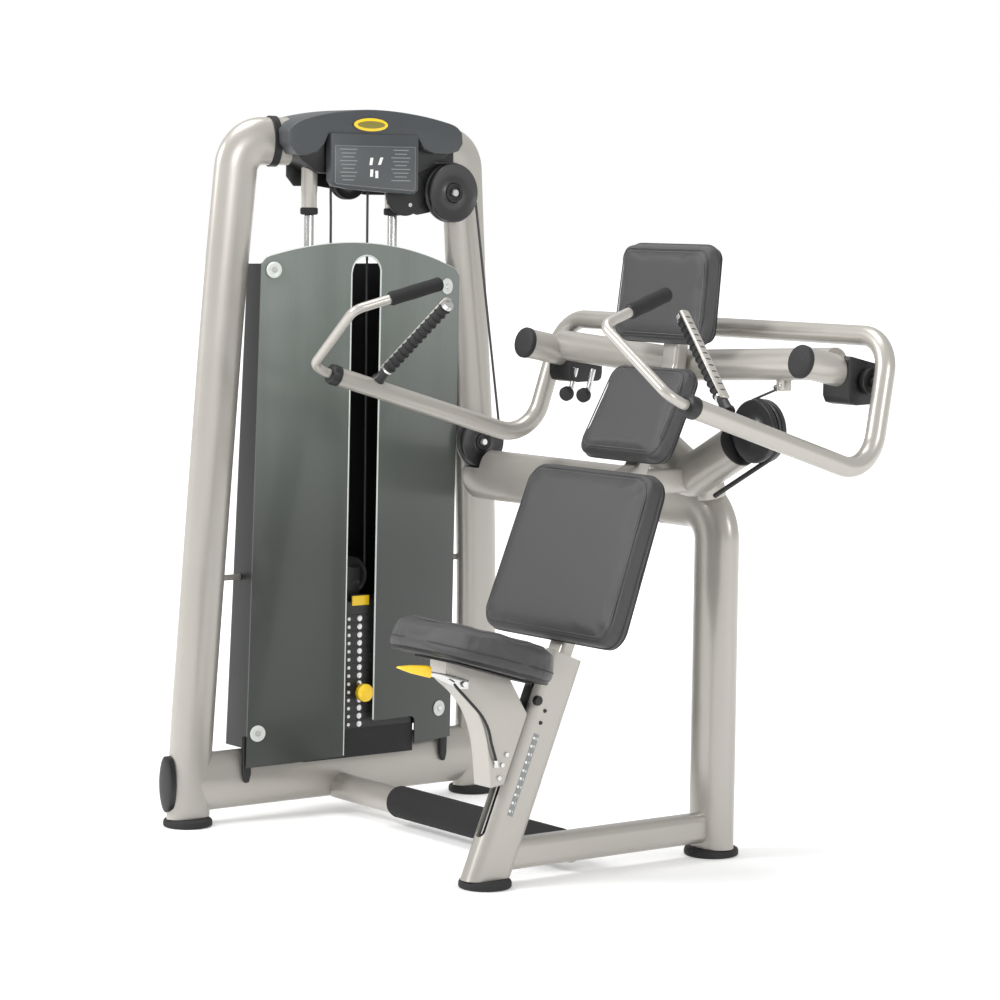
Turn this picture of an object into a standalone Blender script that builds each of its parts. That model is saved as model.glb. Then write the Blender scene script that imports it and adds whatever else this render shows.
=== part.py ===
"""Selectorised shoulder press machine: frame, weight stack, press lever, seat and pads.

Metres, +Z up. The user sits facing -Y. X = 0 is the seat's middle plane and the
weight tower stands on the user's right, at -X. Every piece is its own object.
"""
import math

import bmesh
import bpy
from mathutils import Matrix, Vector

GAP = 0.0003            # welded or bolted faces that stand against each other
RUN = 0.0004            # running clearance of slides and pulleys

# Tower
TOWER_X = -0.915        # plane of the two tower legs
LEG_W = 0.060           # leg section across the tower plane
LEG_D = 0.110           # leg section in the tower plane
FRONT_LEG = [(-0.799, 0.020), (-0.799, 0.050), (-0.790, 0.220), (-0.750, 0.720), (-0.710, 1.208),
             (-0.672, 1.570),
             (-0.540, 1.572)]
REAR_LEG = [(0.012, 0.020), (0.012, 0.050), (0.018, 0.160), (0.016, 0.690), (-0.031, 1.346), (-0.043, 1.560),
            (-0.136, 1.562)]
LEG_BEND_R = 0.085
FOOT_R = 0.057
FOOT_H = 0.0195
BASE_W = 0.058
BASE_H = 0.136
BASE_Z = 0.099

# Stack
STACK_X = TOWER_X + 0.010
STACK_Y = -0.367
PLATE_COUNT = 14
LIFTED = 10             # plates above the selector pin
PLATE_PITCH = 0.0193
PLATE_T = 0.0188
PLATE_D = 0.100
PLATE_L = 0.300
PLATE_Z0 = 0.1980       # underside of the lowest plate
ROD_SPACING = 0.235
ROD_R = 0.011
ROD_TOP = 1.500
STEM_R = 0.0125
PIN_R = 0.0048
HEAD_T = 0.030
FLOAT_R = 0.045
FLOAT_Y = -0.365
FLOAT_Z = 0.556
PIN_TRAVEL = 0.060

# Head
RAIL_Z0 = 1.550
RAIL_Z1 = 1.600
SLEEVE_R = 0.019
SLEEVE_Z0 = 1.405
FRONT_PULLEY = (-0.378, 1.488, 0.048)
BIG_PULLEY = (-0.113, 1.459, 0.070)
BIG_X = TOWER_X + 0.057
PULLEY_T = 0.024
BIG_T = 0.030
CABLE_R = 0.0030
GROOVE = 0.0045

# Shroud
SHROUD_HALF = 0.290
SHROUD_T = 0.004
SHROUD_TOP_Y = -0.368
SHROUD_BOTTOM_Y = -0.382
SHROUD_Z0 = 0.128
SHROUD_Z1 = 1.341
SLOT_W = 0.080

# Seat side
BEAM_W = 0.080
BEAM_H = 0.120
BEAM_Z = 0.784
POST_BEND_R = 0.095
TUBE_R = 0.031
TUBE_Y = -0.390
TUBE_Z = 0.056
SLEEVE_FOOT_R = 0.037
SEAT_BASE_H = 0.066
SEAT_BASE_W = 0.050
SEAT_BASE_Z = 0.064
COLUMN_FOOT_Y = -0.625
COLUMN_LEAN = math.radians(22.3)
COLUMN_L = 0.500
COLUMN_W = 0.060
COLUMN_D = 0.105
KEY_W = 0.030
KEY_D = 0.016
FORK_Y = -0.076
FORK_Z = 0.845
FORK_R = 0.0475
FORK_RISE = math.radians(27.5)
FORK_L = 0.172
HUB_S = 0.248           # fork centre to the fork pulley's axle
HUB_R = 0.068
HUB_T = 0.040
SPINE_W = 0.050
SPINE_D = 0.035

# Shoulder beam and press lever
SHOULDER_Y = -0.0775
SHOULDER_R = 0.034
SHOULDER_Z = 1.090
SHOULDER_RISE = 0.024
STUB_X = 0.466
PIVOT_Y = -0.0345
PIVOT_Z = 1.080
PIVOT_R = 0.012
LEVER_R = 0.021
ARM_END = (0.618, -0.610, 1.051)
ARM_LOW = (0.572, -0.085, 0.890)
ARM_TOP = (0.545, -0.010, 1.172)
HANDLE = [(0.616, -0.659, 1.073), (0.434, -0.676, 1.201), (0.390, -0.483, 1.257)]
HANDLE_R = 0.0105
GRIP_R = 0.0160
RIB_LOW = (0.572, -0.488, 1.063)
RIB_TOP = (0.400, -0.446, 1.215)
RIB_R = 0.0150

# Pads: width at the foot, width at the head, length, thickness, foot centre (y, z), lean
LOWER_PAD = (0.464, 0.436, 0.388, 0.052, -0.4944, 0.5225, math.radians(20.5))
UPPER_PAD = (0.292, 0.268, 0.222, 0.046, -0.298, 0.902, math.radians(27.0))
HEAD_PAD = (0.318, 0.308, 0.216, 0.046, -0.190, 1.142, math.radians(6.5))
LOWER_CORNER = 0.050
UPPER_CORNER = 0.034
HEAD_CORNER = 0.032
SEAT_CORNER = 0.140
SEAT_W = 0.380
SEAT_L = 0.308
SEAT_T = 0.078
SEAT_Y = -0.6600
SEAT_Z = 0.5095
SEAT_TILT = math.radians(16.5)

GREY = ("frame_paint", (0.66, 0.63, 0.60, 1.0), 0.35, 0.4)
BLACK = ("black_plastic", (0.02, 0.02, 0.02, 1.0), 0.5, 0.0)
RUBBER = ("rubber", (0.03, 0.03, 0.03, 1.0), 0.8, 0.0)
SLATE = ("slate_plastic", (0.08, 0.09, 0.10, 1.0), 0.45, 0.0)
SMOKE = ("smoked_shell", (0.14, 0.15, 0.145, 1.0), 0.35, 0.1)
VINYL = ("vinyl", (0.06, 0.06, 0.065, 1.0), 0.6, 0.0)
CHROME = ("chrome", (0.8, 0.8, 0.8, 1.0), 0.15, 1.0)
STEEL = ("stack_steel", (0.05, 0.05, 0.05, 1.0), 0.5, 0.6)
YELLOW = ("yellow_plastic", (0.9, 0.62, 0.02, 1.0), 0.4, 0.0)

for old in list(bpy.data.objects):
    bpy.data.objects.remove(old, do_unlink=True)

PARTS = bpy.data.collections.new("shoulder_press_machine")
CUTTERS = bpy.data.collections.new("cutters")
bpy.context.scene.collection.children.link(PARTS)
bpy.context.scene.collection.children.link(CUTTERS)
MADE = {}
SWEEPS = {}


def material(spec, name):
    """Make the material of one piece."""
    mat = bpy.data.materials.new(f"{name}_{spec[0]}")
    mat.use_nodes = True
    node = mat.node_tree.nodes["Principled BSDF"]
    node.inputs["Base Color"].default_value = spec[1]
    node.inputs["Roughness"].default_value = spec[2]
    node.inputs["Metallic"].default_value = spec[3]
    return mat


def emit(name, bm, spec, origin=(0.0, 0.0, 0.0)):
    """Turn a bmesh in machine coordinates into a named piece with its own origin."""
    bmesh.ops.recalc_face_normals(bm, faces=bm.faces)
    bmesh.ops.translate(bm, verts=bm.verts, vec=-Vector(origin))
    mesh = bpy.data.meshes.new(name)
    bm.to_mesh(mesh)
    bm.free()
    obj = bpy.data.objects.new(name, mesh)
    obj.location = origin
    obj.data.materials.append(material(spec, name))
    PARTS.objects.link(obj)
    MADE[name] = obj
    return obj


def tool(bm, label):
    """Make a hidden cutter from a bmesh in machine coordinates."""
    bmesh.ops.recalc_face_normals(bm, faces=bm.faces)
    mesh = bpy.data.meshes.new(label)
    bm.to_mesh(mesh)
    bm.free()
    obj = bpy.data.objects.new(label, mesh)
    obj.hide_render = True
    obj.display_type = 'WIRE'
    CUTTERS.objects.link(obj)
    return obj


def boolean(name, bm, operation):
    """Cut a piece with, or weld it to, a shape."""
    target = MADE[name]
    label = f"{name}_{operation.lower()}_{len(target.modifiers)}"
    mod = target.modifiers.new(label, 'BOOLEAN')
    mod.solver = 'EXACT'
    mod.operation = operation
    mod.object = tool(bm, label)


def cut(name, bm):
    """Take a shape away from a piece."""
    boolean(name, bm, 'DIFFERENCE')


def weld(name, bm):
    """Join a shape to a piece."""
    boolean(name, bm, 'UNION')


def oval(width, height, count=20):
    """Return an oval section."""
    return [(width / 2 * math.cos(2 * math.pi * i / count), height / 2 * math.sin(2 * math.pi * i / count))
            for i in range(count)]


def rounded(width, height, radius, steps=3):
    """Return a rounded rectangle section."""
    points = []
    for quarter, (sx, sy) in enumerate(((1, 1), (-1, 1), (-1, -1), (1, -1))):
        for i in range(steps + 1):
            angle = math.pi / 2 * (quarter + i / steps)
            points.append((sx * (width / 2 - radius) + radius * math.cos(angle),
                           sy * (height / 2 - radius) + radius * math.sin(angle)))
    return points


def bend(points, radius, steps=6):
    """Round the inner corners of a path."""
    points = [Vector(p) for p in points]
    path = [points[0]]
    for before, corner, after in zip(points, points[1:], points[2:]):
        a = (before - corner).normalized()
        b = (after - corner).normalized()
        turn = math.pi - a.angle(b)
        if turn < 0.08:
            path.append(corner)
            continue
        reach = min(radius * math.tan(turn / 2), 0.48 * (before - corner).length,
                    0.48 * (after - corner).length)
        arc_r = reach / math.tan(turn / 2)
        centre = corner + (a + b).normalized() * (arc_r / math.cos(turn / 2))
        start = corner + a * reach - centre
        axis = start.cross(corner + b * reach - centre).normalized()
        path += [centre + Matrix.Rotation(turn * i / steps, 3, axis) @ start for i in range(steps + 1)]
    path.append(points[-1])
    return path


def sweep(path, section, side, grow=0.0, scales=None):
    """Carry a closed section along a path; side is the section's first axis."""
    path = [Vector(p) for p in path]
    if grow:
        path[0] = path[0] + (path[0] - path[1]).normalized() * grow
        path[-1] = path[-1] + (path[-1] - path[-2]).normalized() * grow
    bm = bmesh.new()
    side = Vector(side)
    rings = []
    for i, point in enumerate(path):
        ahead = (path[min(i + 1, len(path) - 1)] - point)
        behind = (point - path[max(i - 1, 0)])
        tangent = (ahead.normalized() + behind.normalized()).normalized()
        side = (side - tangent * side.dot(tangent)).normalized()
        other = tangent.cross(side)
        scale = scales[i] if scales else 1.0
        ring = []
        for a, b in section:
            length = math.hypot(a, b)
            k = scale * (1 + grow / length)
            ring.append(bm.verts.new(point + side * (a * k) + other * (b * k)))
        rings.append(ring)
    for low, high in zip(rings, rings[1:]):
        for j in range(len(low)):
            k = (j + 1) % len(low)
            bm.faces.new((low[j], low[k], high[k], high[j]))
    bm.faces.new(list(reversed(rings[0])))
    bm.faces.new(rings[-1])
    return bm


def tube(name, path, section, side, spec, origin=(0.0, 0.0, 0.0), scales=None):
    """Make a swept piece and remember its sweep so that neighbours can be fitted to it."""
    SWEEPS[name] = (path, section, side)
    return emit(name, sweep(path, section, side, scales=scales), spec, origin)


def fit_to(name, neighbour, gap=GAP):
    """Cope the end of one tube to a neighbour, leaving the joint gap."""
    path, section, side = SWEEPS[neighbour]
    cut(name, sweep(path, section, side, grow=gap))


def turned(profile, centre, axis, count=24, closed=False):
    """Revolve (along, radius) points about an axis through the centre."""
    axis = Vector(axis).normalized()
    centre = Vector(centre)
    side = axis.orthogonal().normalized()
    other = axis.cross(side)
    bm = bmesh.new()
    rings = []
    for along, radius in profile:
        rings.append([bm.verts.new(centre + axis * along + side * (radius * math.cos(2 * math.pi * i / count))
                                   + other * (radius * math.sin(2 * math.pi * i / count)))
                      for i in range(count)])
    pairs = list(zip(rings, rings[1:]))
    if closed:
        pairs.append((rings[-1], rings[0]))
    for low, high in pairs:
        for j in range(count):
            k = (j + 1) % count
            bm.faces.new((low[j], low[k], high[k], high[j]))
    if not closed:
        bm.faces.new(list(reversed(rings[0])))
        bm.faces.new(rings[-1])
    return bm


def rod(start, end, radius, count=16):
    """Return a plain cylinder between two points."""
    start = Vector(start)
    end = Vector(end)
    return turned([(0.0, radius), ((end - start).length, radius)], start, end - start, count)


def block(low, high):
    """Return a box between two corners."""
    bm = bmesh.new()
    bmesh.ops.create_cube(bm, size=1.0)
    for vert in bm.verts:
        for i in range(3):
            vert.co[i] = low[i] if vert.co[i] < 0 else high[i]
    return bm


def prism(outline, x0, x1):
    """Extrude a (y, z) outline along X."""
    bm = bmesh.new()
    left = [bm.verts.new((x0, y, z)) for y, z in outline]
    right = [bm.verts.new((x1, y, z)) for y, z in outline]
    for i in range(len(outline)):
        j = (i + 1) % len(outline)
        bm.faces.new((left[i], left[j], right[j], right[i]))
    bm.faces.new(list(reversed(left)))
    bm.faces.new(right)
    return bm


def pulley(name, centre, radius, thickness, bore, axis, spec):
    """Make a grooved pulley on its own axis."""
    half = thickness / 2
    groove = radius - GROOVE
    profile = [(-half, bore), (-half, radius - 0.003), (-half + 0.003, radius), (-0.0065, radius),
               (-0.0042, groove), (0.0042, groove), (0.0065, radius), (half - 0.003, radius),
               (half, radius - 0.003), (half, bore)]
    emit(name, turned(profile, centre, axis, 32, closed=True), spec, centre)


def arc(centre, radius, start, end, steps, plane):
    """Return points on an arc; plane is 'YZ' or 'XZ' and angles are in degrees."""
    points = []
    for i in range(steps + 1):
        angle = math.radians(start + (end - start) * i / steps)
        u = radius * math.cos(angle)
        w = radius * math.sin(angle)
        if plane == 'YZ':
            points.append(Vector((centre[0], centre[1] + u, centre[2] + w)))
        else:
            points.append(Vector((centre[0] + u, centre[1], centre[2] + w)))
    return points


def build_tower():
    """Legs, base beam, feet and their end cap."""
    x = TOWER_X
    front = bend([(x, y, z) for y, z in FRONT_LEG], LEG_BEND_R)
    rear = bend([(x, y, z) for y, z in REAR_LEG], LEG_BEND_R)
    tube("front_leg", front, oval(LEG_W, LEG_D), (1, 0, 0), GREY)
    tube("rear_leg", rear, oval(LEG_W, LEG_D), (1, 0, 0), GREY)
    weld("rear_leg", rod((x + 0.020, -0.017, 0.864), (x + 0.0740, -0.017, 0.864), 0.008))
    weld("rear_leg", rod((x + 0.0704, -0.017, 0.864), (x + 0.076, -0.017, 0.864), 0.014))
    weld("front_leg", rod((x - 0.020, -0.740, 0.566), (x - 0.020, -0.6499, 0.566), 0.007, 12))
    weld("rear_leg", rod((x - 0.010, -0.020, 0.580), (x - 0.010, -0.1073, 0.580), 0.007, 12))
    tube("base_beam", [(x, -0.790, BASE_Z), (x, 0.012, BASE_Z)], oval(BASE_W, BASE_H, 24), (1, 0, 0), GREY)
    fit_to("base_beam", "front_leg")
    fit_to("base_beam", "rear_leg")
    for name, px, py in (("foot_tower_front", x, -0.800), ("foot_tower_rear", x, 0.010),
                         ("foot_column", 0.0, COLUMN_FOOT_Y), ("foot_post", 0.0, 0.0)):
        radius = FOOT_R + (0.004 if name == "foot_post" else 0.0)
        profile = [(0.0, radius - 0.003), (0.003, radius), (FOOT_H - 0.004, radius), (FOOT_H, radius - 0.004)]
        emit(name, turned(profile, (px, py, 0.0), (0, 0, 1), 28), RUBBER)


def build_head():
    """Top rail with pulley cheeks and rod sleeves, pulleys and the head cover."""
    x = TOWER_X
    sx = STACK_X
    emit("head_bracket", block((x - 0.0305, -0.5395, RAIL_Z0), (x + 0.0305, -0.1365, RAIL_Z1)), GREY)
    weld("head_bracket", block((x - 0.036, -0.520, 1.470), (x - 0.030, -0.140, 1.585)))
    weld("head_bracket", block((x + 0.0303, -0.210, 1.430), (x + 0.0370, -0.092, 1.590)))
    for y in (STACK_Y - ROD_SPACING / 2, STACK_Y + ROD_SPACING / 2):
        weld("head_bracket", rod((sx, y, SLEEVE_Z0), (sx, y, RAIL_Z0 + 0.006), SLEEVE_R, 20))
        cut("head_bracket", rod((sx, y, SLEEVE_Z0 - 0.01), (sx, y, ROD_TOP + 0.005), ROD_R + GAP, 20))
    y, z, _ = FRONT_PULLEY
    stop = sx + PULLEY_T / 2
    weld("head_bracket", rod((x - 0.0325, y, z), (stop + 0.004, y, z), 0.008))
    weld("head_bracket", rod((stop + RUN, y, z), (stop + 0.006, y, z), 0.013))
    weld("head_bracket", rod((x - 0.0325, y, z), (sx - PULLEY_T / 2 - RUN, y, z), 0.012))
    y, z, _ = BIG_PULLEY
    weld("head_bracket", rod((x + 0.0345, y, z), (BIG_X + BIG_T / 2 + 0.004, y, z), 0.009))
    weld("head_bracket", rod((BIG_X + BIG_T / 2 + RUN, y, z), (BIG_X + BIG_T / 2 + 0.008, y, z), 0.015))
    for name, (y, z, r), px, t, bore in (("head_pulley_front", FRONT_PULLEY, sx, PULLEY_T, 0.008),
                                         ("head_pulley_big", BIG_PULLEY, BIG_X, BIG_T, 0.009),
                                         ("side_pulley", (-0.017, 0.864, 0.062), x + 0.055, BIG_T, 0.008)):
        pulley(name, (px, y, z), r, t, bore + RUN, (1, 0, 0), BLACK)
    outer = [(-0.560, 1.545), (-0.560, 1.618), (-0.535, 1.632), (-0.460, 1.645), (-0.360, 1.650),
             (-0.220, 1.645), (-0.110, 1.634), (-0.086, 1.620), (-0.086, 1.545)]
    inner = [(-0.556, 1.540), (-0.556, 1.616), (-0.534, 1.628), (-0.460, 1.641), (-0.360, 1.646),
             (-0.220, 1.641), (-0.112, 1.630), (-0.090, 1.617), (-0.090, 1.540)]
    emit("head_cover", prism(outer, x - 0.055, x + 0.078), SLATE)
    weld("head_cover", prism([(-0.471, 1.470), (-0.471, 1.600), (-0.225, 1.600), (-0.225, 1.456)], x + 0.070,
                             x + 0.083))
    cut("head_cover", prism(inner, x - 0.051, x + 0.0740))
    for leg in ("front_leg", "rear_leg"):
        fit_to("head_cover", leg)


def shroud_x(s):
    """Outer face of the shroud at the fraction s of its half width."""
    return TOWER_X + 0.080 - 0.033 * s * s


def build_shroud():
    """Bowed front shroud with its slot and the rear cover channel."""
    steps = 20
    bm = bmesh.new()
    outer = []
    inner = []
    for i in range(steps + 1):
        s = -1 + 2 * i / steps
        edge = max(0.0, abs(s) - 0.55) / 0.45
        top = SHROUD_Z1 - 0.018 * s * s - 0.075 * edge ** 3
        low = SHROUD_Z0 + 0.012 * (1 + s)
        x = shroud_x(s)
        y_top = SHROUD_TOP_Y + s * SHROUD_HALF
        y_low = SHROUD_BOTTOM_Y + s * SHROUD_HALF
        outer.append((bm.verts.new((x, y_low, low)), bm.verts.new((x, y_top, top))))
        inner.append((bm.verts.new((x - SHROUD_T, y_low, low)), bm.verts.new((x - SHROUD_T, y_top, top))))
    for i in range(steps):
        for grid in (outer, inner):
            bm.faces.new((grid[i][0], grid[i + 1][0], grid[i + 1][1], grid[i][1]))
        for k in (0, 1):
            bm.faces.new((outer[i][k], outer[i + 1][k], inner[i + 1][k], inner[i][k]))
    for i in (0, steps):
        bm.faces.new((outer[i][0], outer[i][1], inner[i][1], inner[i][0]))
    emit("shroud_front", bm, SMOKE)
    half = SLOT_W / 2
    y_top = SHROUD_TOP_Y
    y_low = SHROUD_BOTTOM_Y
    slot = [(y_low - half, SHROUD_Z0 - 0.05), (y_low + half, SHROUD_Z0 - 0.05)]
    for i in range(9):
        angle = math.pi * i / 8
        slot.append((y_top + half * math.cos(angle), 1.270 + half * math.sin(angle)))
    cut("shroud_front", prism(slot, TOWER_X + 0.020, TOWER_X + 0.120))
    cut("shroud_front", block((TOWER_X + 0.020, y_low + half - 0.010, 0.050),
                              (TOWER_X + 0.120, y_low + half + 0.130, 0.215)))
    bm = bmesh.new()
    rings = []
    for z, yl, yr, xf in ((0.172, -0.668, -0.102, TOWER_X + 0.0431),
                          (1.290, -0.615, -0.118, TOWER_X + 0.0509)):
        back = TOWER_X - 0.062
        t = 0.004
        loop = [(xf, yl), (back, yl), (back, yr), (xf, yr), (xf, yr - t), (back + t, yr - t),
                (back + t, yl + t),
                (xf, yl + t)]
        rings.append([bm.verts.new((px, py, z)) for px, py in loop])
    for j in range(8):
        k = (j + 1) % 8
        bm.faces.new((rings[0][j], rings[0][k], rings[1][k], rings[1][j]))
    bm.faces.new(rings[0])
    bm.faces.new(rings[1])
    emit("shroud_rear", bm, BLACK)


def build_stack():
    """Guide rods, shelf, plates, head block with stem and yoke, selector pin."""
    sx = STACK_X
    ys = (STACK_Y - ROD_SPACING / 2, STACK_Y + ROD_SPACING / 2)
    for name, y in zip(("guide_rod_front", "guide_rod_rear"), ys):
        emit(name, rod((sx, y, 0.1753), (sx, y, ROD_TOP), ROD_R, 20), CHROME)
    emit("stack_shelf", block((TOWER_X - 0.045, STACK_Y - 0.155, 0.130),
                              (TOWER_X + 0.060, STACK_Y + 0.155, PLATE_Z0 - GAP)),
         RUBBER)
    fit_to("stack_shelf", "base_beam")
    for y in ys:
        cut("stack_shelf", rod((sx, y, 0.175), (sx, y, PLATE_Z0 + 0.01), ROD_R + GAP, 20))
    cut("stack_shelf", rod((sx, STACK_Y, 0.180), (sx, STACK_Y, PLATE_Z0 + 0.01), STEM_R + 0.001, 16))
    for i in range(PLATE_COUNT):
        z0 = PLATE_Z0 + (PLATE_COUNT - 1 - i) * PLATE_PITCH
        name = f"plate_{i + 1:02d}"
        emit(name, block((sx - PLATE_D / 2, STACK_Y - PLATE_L / 2, z0),
                         (sx + PLATE_D / 2, STACK_Y + PLATE_L / 2, z0 + PLATE_T)),
             STEEL)
        for y in ys:
            cut(name, rod((sx, y, z0 - 0.01), (sx, y, z0 + 0.04), ROD_R + 0.0010, 12))
        cut(name, rod((sx, STACK_Y, z0 - 0.01), (sx, STACK_Y, z0 + 0.04), STEM_R + GAP, 12))
        cut(name, rod((sx + 0.004, STACK_Y, z0 + PLATE_T / 2), (sx + 0.08, STACK_Y, z0 + PLATE_T / 2),
                      PIN_R + 0.0006, 12))
    top = PLATE_Z0 + PLATE_COUNT * PLATE_PITCH
    emit("stack_head", block((sx - 0.050, STACK_Y - 0.150, top),
                             (sx + 0.050, STACK_Y + 0.150, top + HEAD_T)), STEEL)
    weld("stack_head", rod((sx, STACK_Y, 0.186), (sx, STACK_Y, top + 0.010), STEM_R, 12))
    for side in (-1, 1):
        a = sx + side * 0.0130
        b = sx + side * 0.0190
        weld("stack_head", block((min(a, b), FLOAT_Y - 0.018, top + HEAD_T - 0.004),
                                 (max(a, b), FLOAT_Y + 0.018, FLOAT_Z + 0.020)))
    weld("stack_head", rod((sx - 0.0160, FLOAT_Y, FLOAT_Z), (sx + 0.0160, FLOAT_Y, FLOAT_Z), 0.007))
    for y in ys:
        cut("stack_head", rod((sx, y, top - 0.01), (sx, y, top + 0.05), ROD_R + 0.0010, 12))
    pin_z = PLATE_Z0 + (PLATE_COUNT - LIFTED) * PLATE_PITCH + PLATE_T / 2
    cut("stack_head", rod((sx - 0.004, STACK_Y, pin_z), (sx + 0.04, STACK_Y, pin_z), PIN_R + 0.0006, 12))
    pulley("floating_pulley", (sx, FLOAT_Y, FLOAT_Z), FLOAT_R, PULLEY_T, 0.007 + RUN, (1, 0, 0), BLACK)
    profile = [(0.0, PIN_R), (0.0525 - 0.002, PIN_R), (0.0525 - 0.002, 0.010), (0.060, 0.010),
               (0.062, 0.0185), (0.068, 0.0215),
               (0.080, 0.0215), (0.086, 0.0170)]
    emit("selector_pin", turned(profile, (sx, STACK_Y, pin_z), (1, 0, 0), 16), YELLOW, (sx, STACK_Y, pin_z))


def build_frame():
    """Connecting tubes, rear post, fork, seat column, spine and shoulder beam."""
    x = TOWER_X
    tube("rear_post", bend([(0, 0, 0.0200), (0, 0, BEAM_Z), (-0.175, 0, BEAM_Z)], POST_BEND_R, 8),
         oval(BEAM_W, BEAM_H),
         (0, 1, 0), GREY)
    tube("connect_beam", [(x, 0.0, BEAM_Z), (-0.1753, 0.0, BEAM_Z)], oval(BEAM_W, BEAM_H), (0, 1, 0), GREY)
    fit_to("connect_beam", "rear_leg")
    cut("connect_beam", rod((x, -0.017, 0.864), (x + 0.0800, -0.017, 0.864), 0.0655, 24))
    tube("seat_base_beam", [(0, -0.600, SEAT_BASE_Z), (0, -0.010, SEAT_BASE_Z)],
         rounded(SEAT_BASE_W, SEAT_BASE_H, 0.018), (1, 0, 0), GREY)
    fit_to("seat_base_beam", "rear_post")
    tube("connect_tube", [(x, TUBE_Y, TUBE_Z), (0.0, TUBE_Y, TUBE_Z)], oval(2 * TUBE_R, 2 * TUBE_R),
         (0, 1, 0), GREY)
    fit_to("connect_tube", "base_beam")
    fit_to("connect_tube", "seat_base_beam")
    r = TUBE_R + GAP
    profile = [(-0.655, r), (-0.655, r + 0.003), (-0.640, SLEEVE_FOOT_R), (-0.055, SLEEVE_FOOT_R),
               (-0.040, r + 0.003), (-0.040, r)]
    emit("footrest_sleeve", turned(profile, (0, TUBE_Y, TUBE_Z), (1, 0, 0), 24, closed=True), RUBBER)
    lean = Vector((0, math.sin(COLUMN_LEAN), math.cos(COLUMN_LEAN)))
    foot = Vector((0, COLUMN_FOOT_Y, FOOT_H))
    top = foot + lean * COLUMN_L
    tube("seat_column", [foot - lean * 0.05, top], rounded(COLUMN_W, COLUMN_D, 0.026), (1, 0, 0), GREY)
    cut("seat_column", block((-0.1, -0.8, -0.1), (0.1, -0.5, FOOT_H + GAP)))
    front = Vector((0, -math.cos(COLUMN_LEAN), math.sin(COLUMN_LEAN)))
    face = COLUMN_D / 2
    slot = [foot + lean * a + front * b for a,
            b in ((0.075, face - KEY_D), (0.470, face - KEY_D), (0.470, face + 0.02),
                                                     (0.075, face + 0.02))]
    cut("seat_column", prism([(p.y, p.z) for p in slot], -KEY_W / 2, KEY_W / 2))
    fit_to("seat_base_beam", "seat_column")
    build_fork()
    spine = bend([top + lean * GAP, top + lean * 0.020, (0, -0.3020, 0.835), (0, -0.234, 0.866),
                  (0, -0.1324, 1.088),
                  (0, -0.1247, 1.150), (0, -0.1076, 1.300)], 0.03, 3)
    tube("back_spine", spine, rounded(SPINE_W, SPINE_D, 0.008, 2), (1, 0, 0), GREY)
    weld("back_spine", block((-0.024, -0.262, 0.815), (0.024, -0.080, 0.865)))
    fit_to("back_spine", "fork")
    weld("back_spine", block((-0.030, -0.1400, 1.064), (0.030, -0.1090, 1.116)))


def fork_point(s, lift=0.0):
    """Return a point at distance s along the right fork arm, lifted square to it."""
    c = math.cos(FORK_RISE)
    w = math.sin(FORK_RISE)
    return Vector((s * c - lift * w, FORK_Y, FORK_Z + s * w + lift * c))


def build_fork():
    """Two-armed fork on the post head with the pulley at its right end."""
    right = fork_point(FORK_L)
    path = bend([(-right.x, right.y, right.z), (0, FORK_Y, FORK_Z), right], 0.05, 4)
    tube("fork", path, oval(2 * FORK_R, 2 * FORK_R, 24), (0, 1, 0), GREY)
    fit_to("fork", "rear_post")
    hub = fork_point(HUB_S)
    back = HUB_T / 2 + 0.0010
    strap = [fork_point(FORK_L - 0.020, -0.018), fork_point(HUB_S + 0.014, -0.018),
             fork_point(HUB_S + 0.014, 0.018),
             fork_point(FORK_L - 0.020, 0.018)]
    bm = bmesh.new()
    near = [bm.verts.new((p.x, FORK_Y + back, p.z)) for p in strap]
    far = [bm.verts.new((p.x, FORK_Y + back + 0.010, p.z)) for p in strap]
    for i in range(4):
        j = (i + 1) % 4
        bm.faces.new((near[i], near[j], far[j], far[i]))
    bm.faces.new(near)
    bm.faces.new(far)
    bmesh.ops.recalc_face_normals(bm, faces=bm.faces)
    weld("fork", bm)
    weld("fork", rod((hub.x, FORK_Y + back + 0.004, hub.z), (hub.x, FORK_Y - HUB_T / 2 - 0.002, hub.z),
                     0.010))
    weld("fork", rod((hub.x, FORK_Y - HUB_T / 2 - RUN, hub.z), (hub.x, FORK_Y - HUB_T / 2 - 0.006, hub.z),
                     0.016))
    pulley("fork_pulley", (hub.x, FORK_Y, hub.z), HUB_R, HUB_T, 0.010 + RUN, (0, 1, 0), BLACK)


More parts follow.
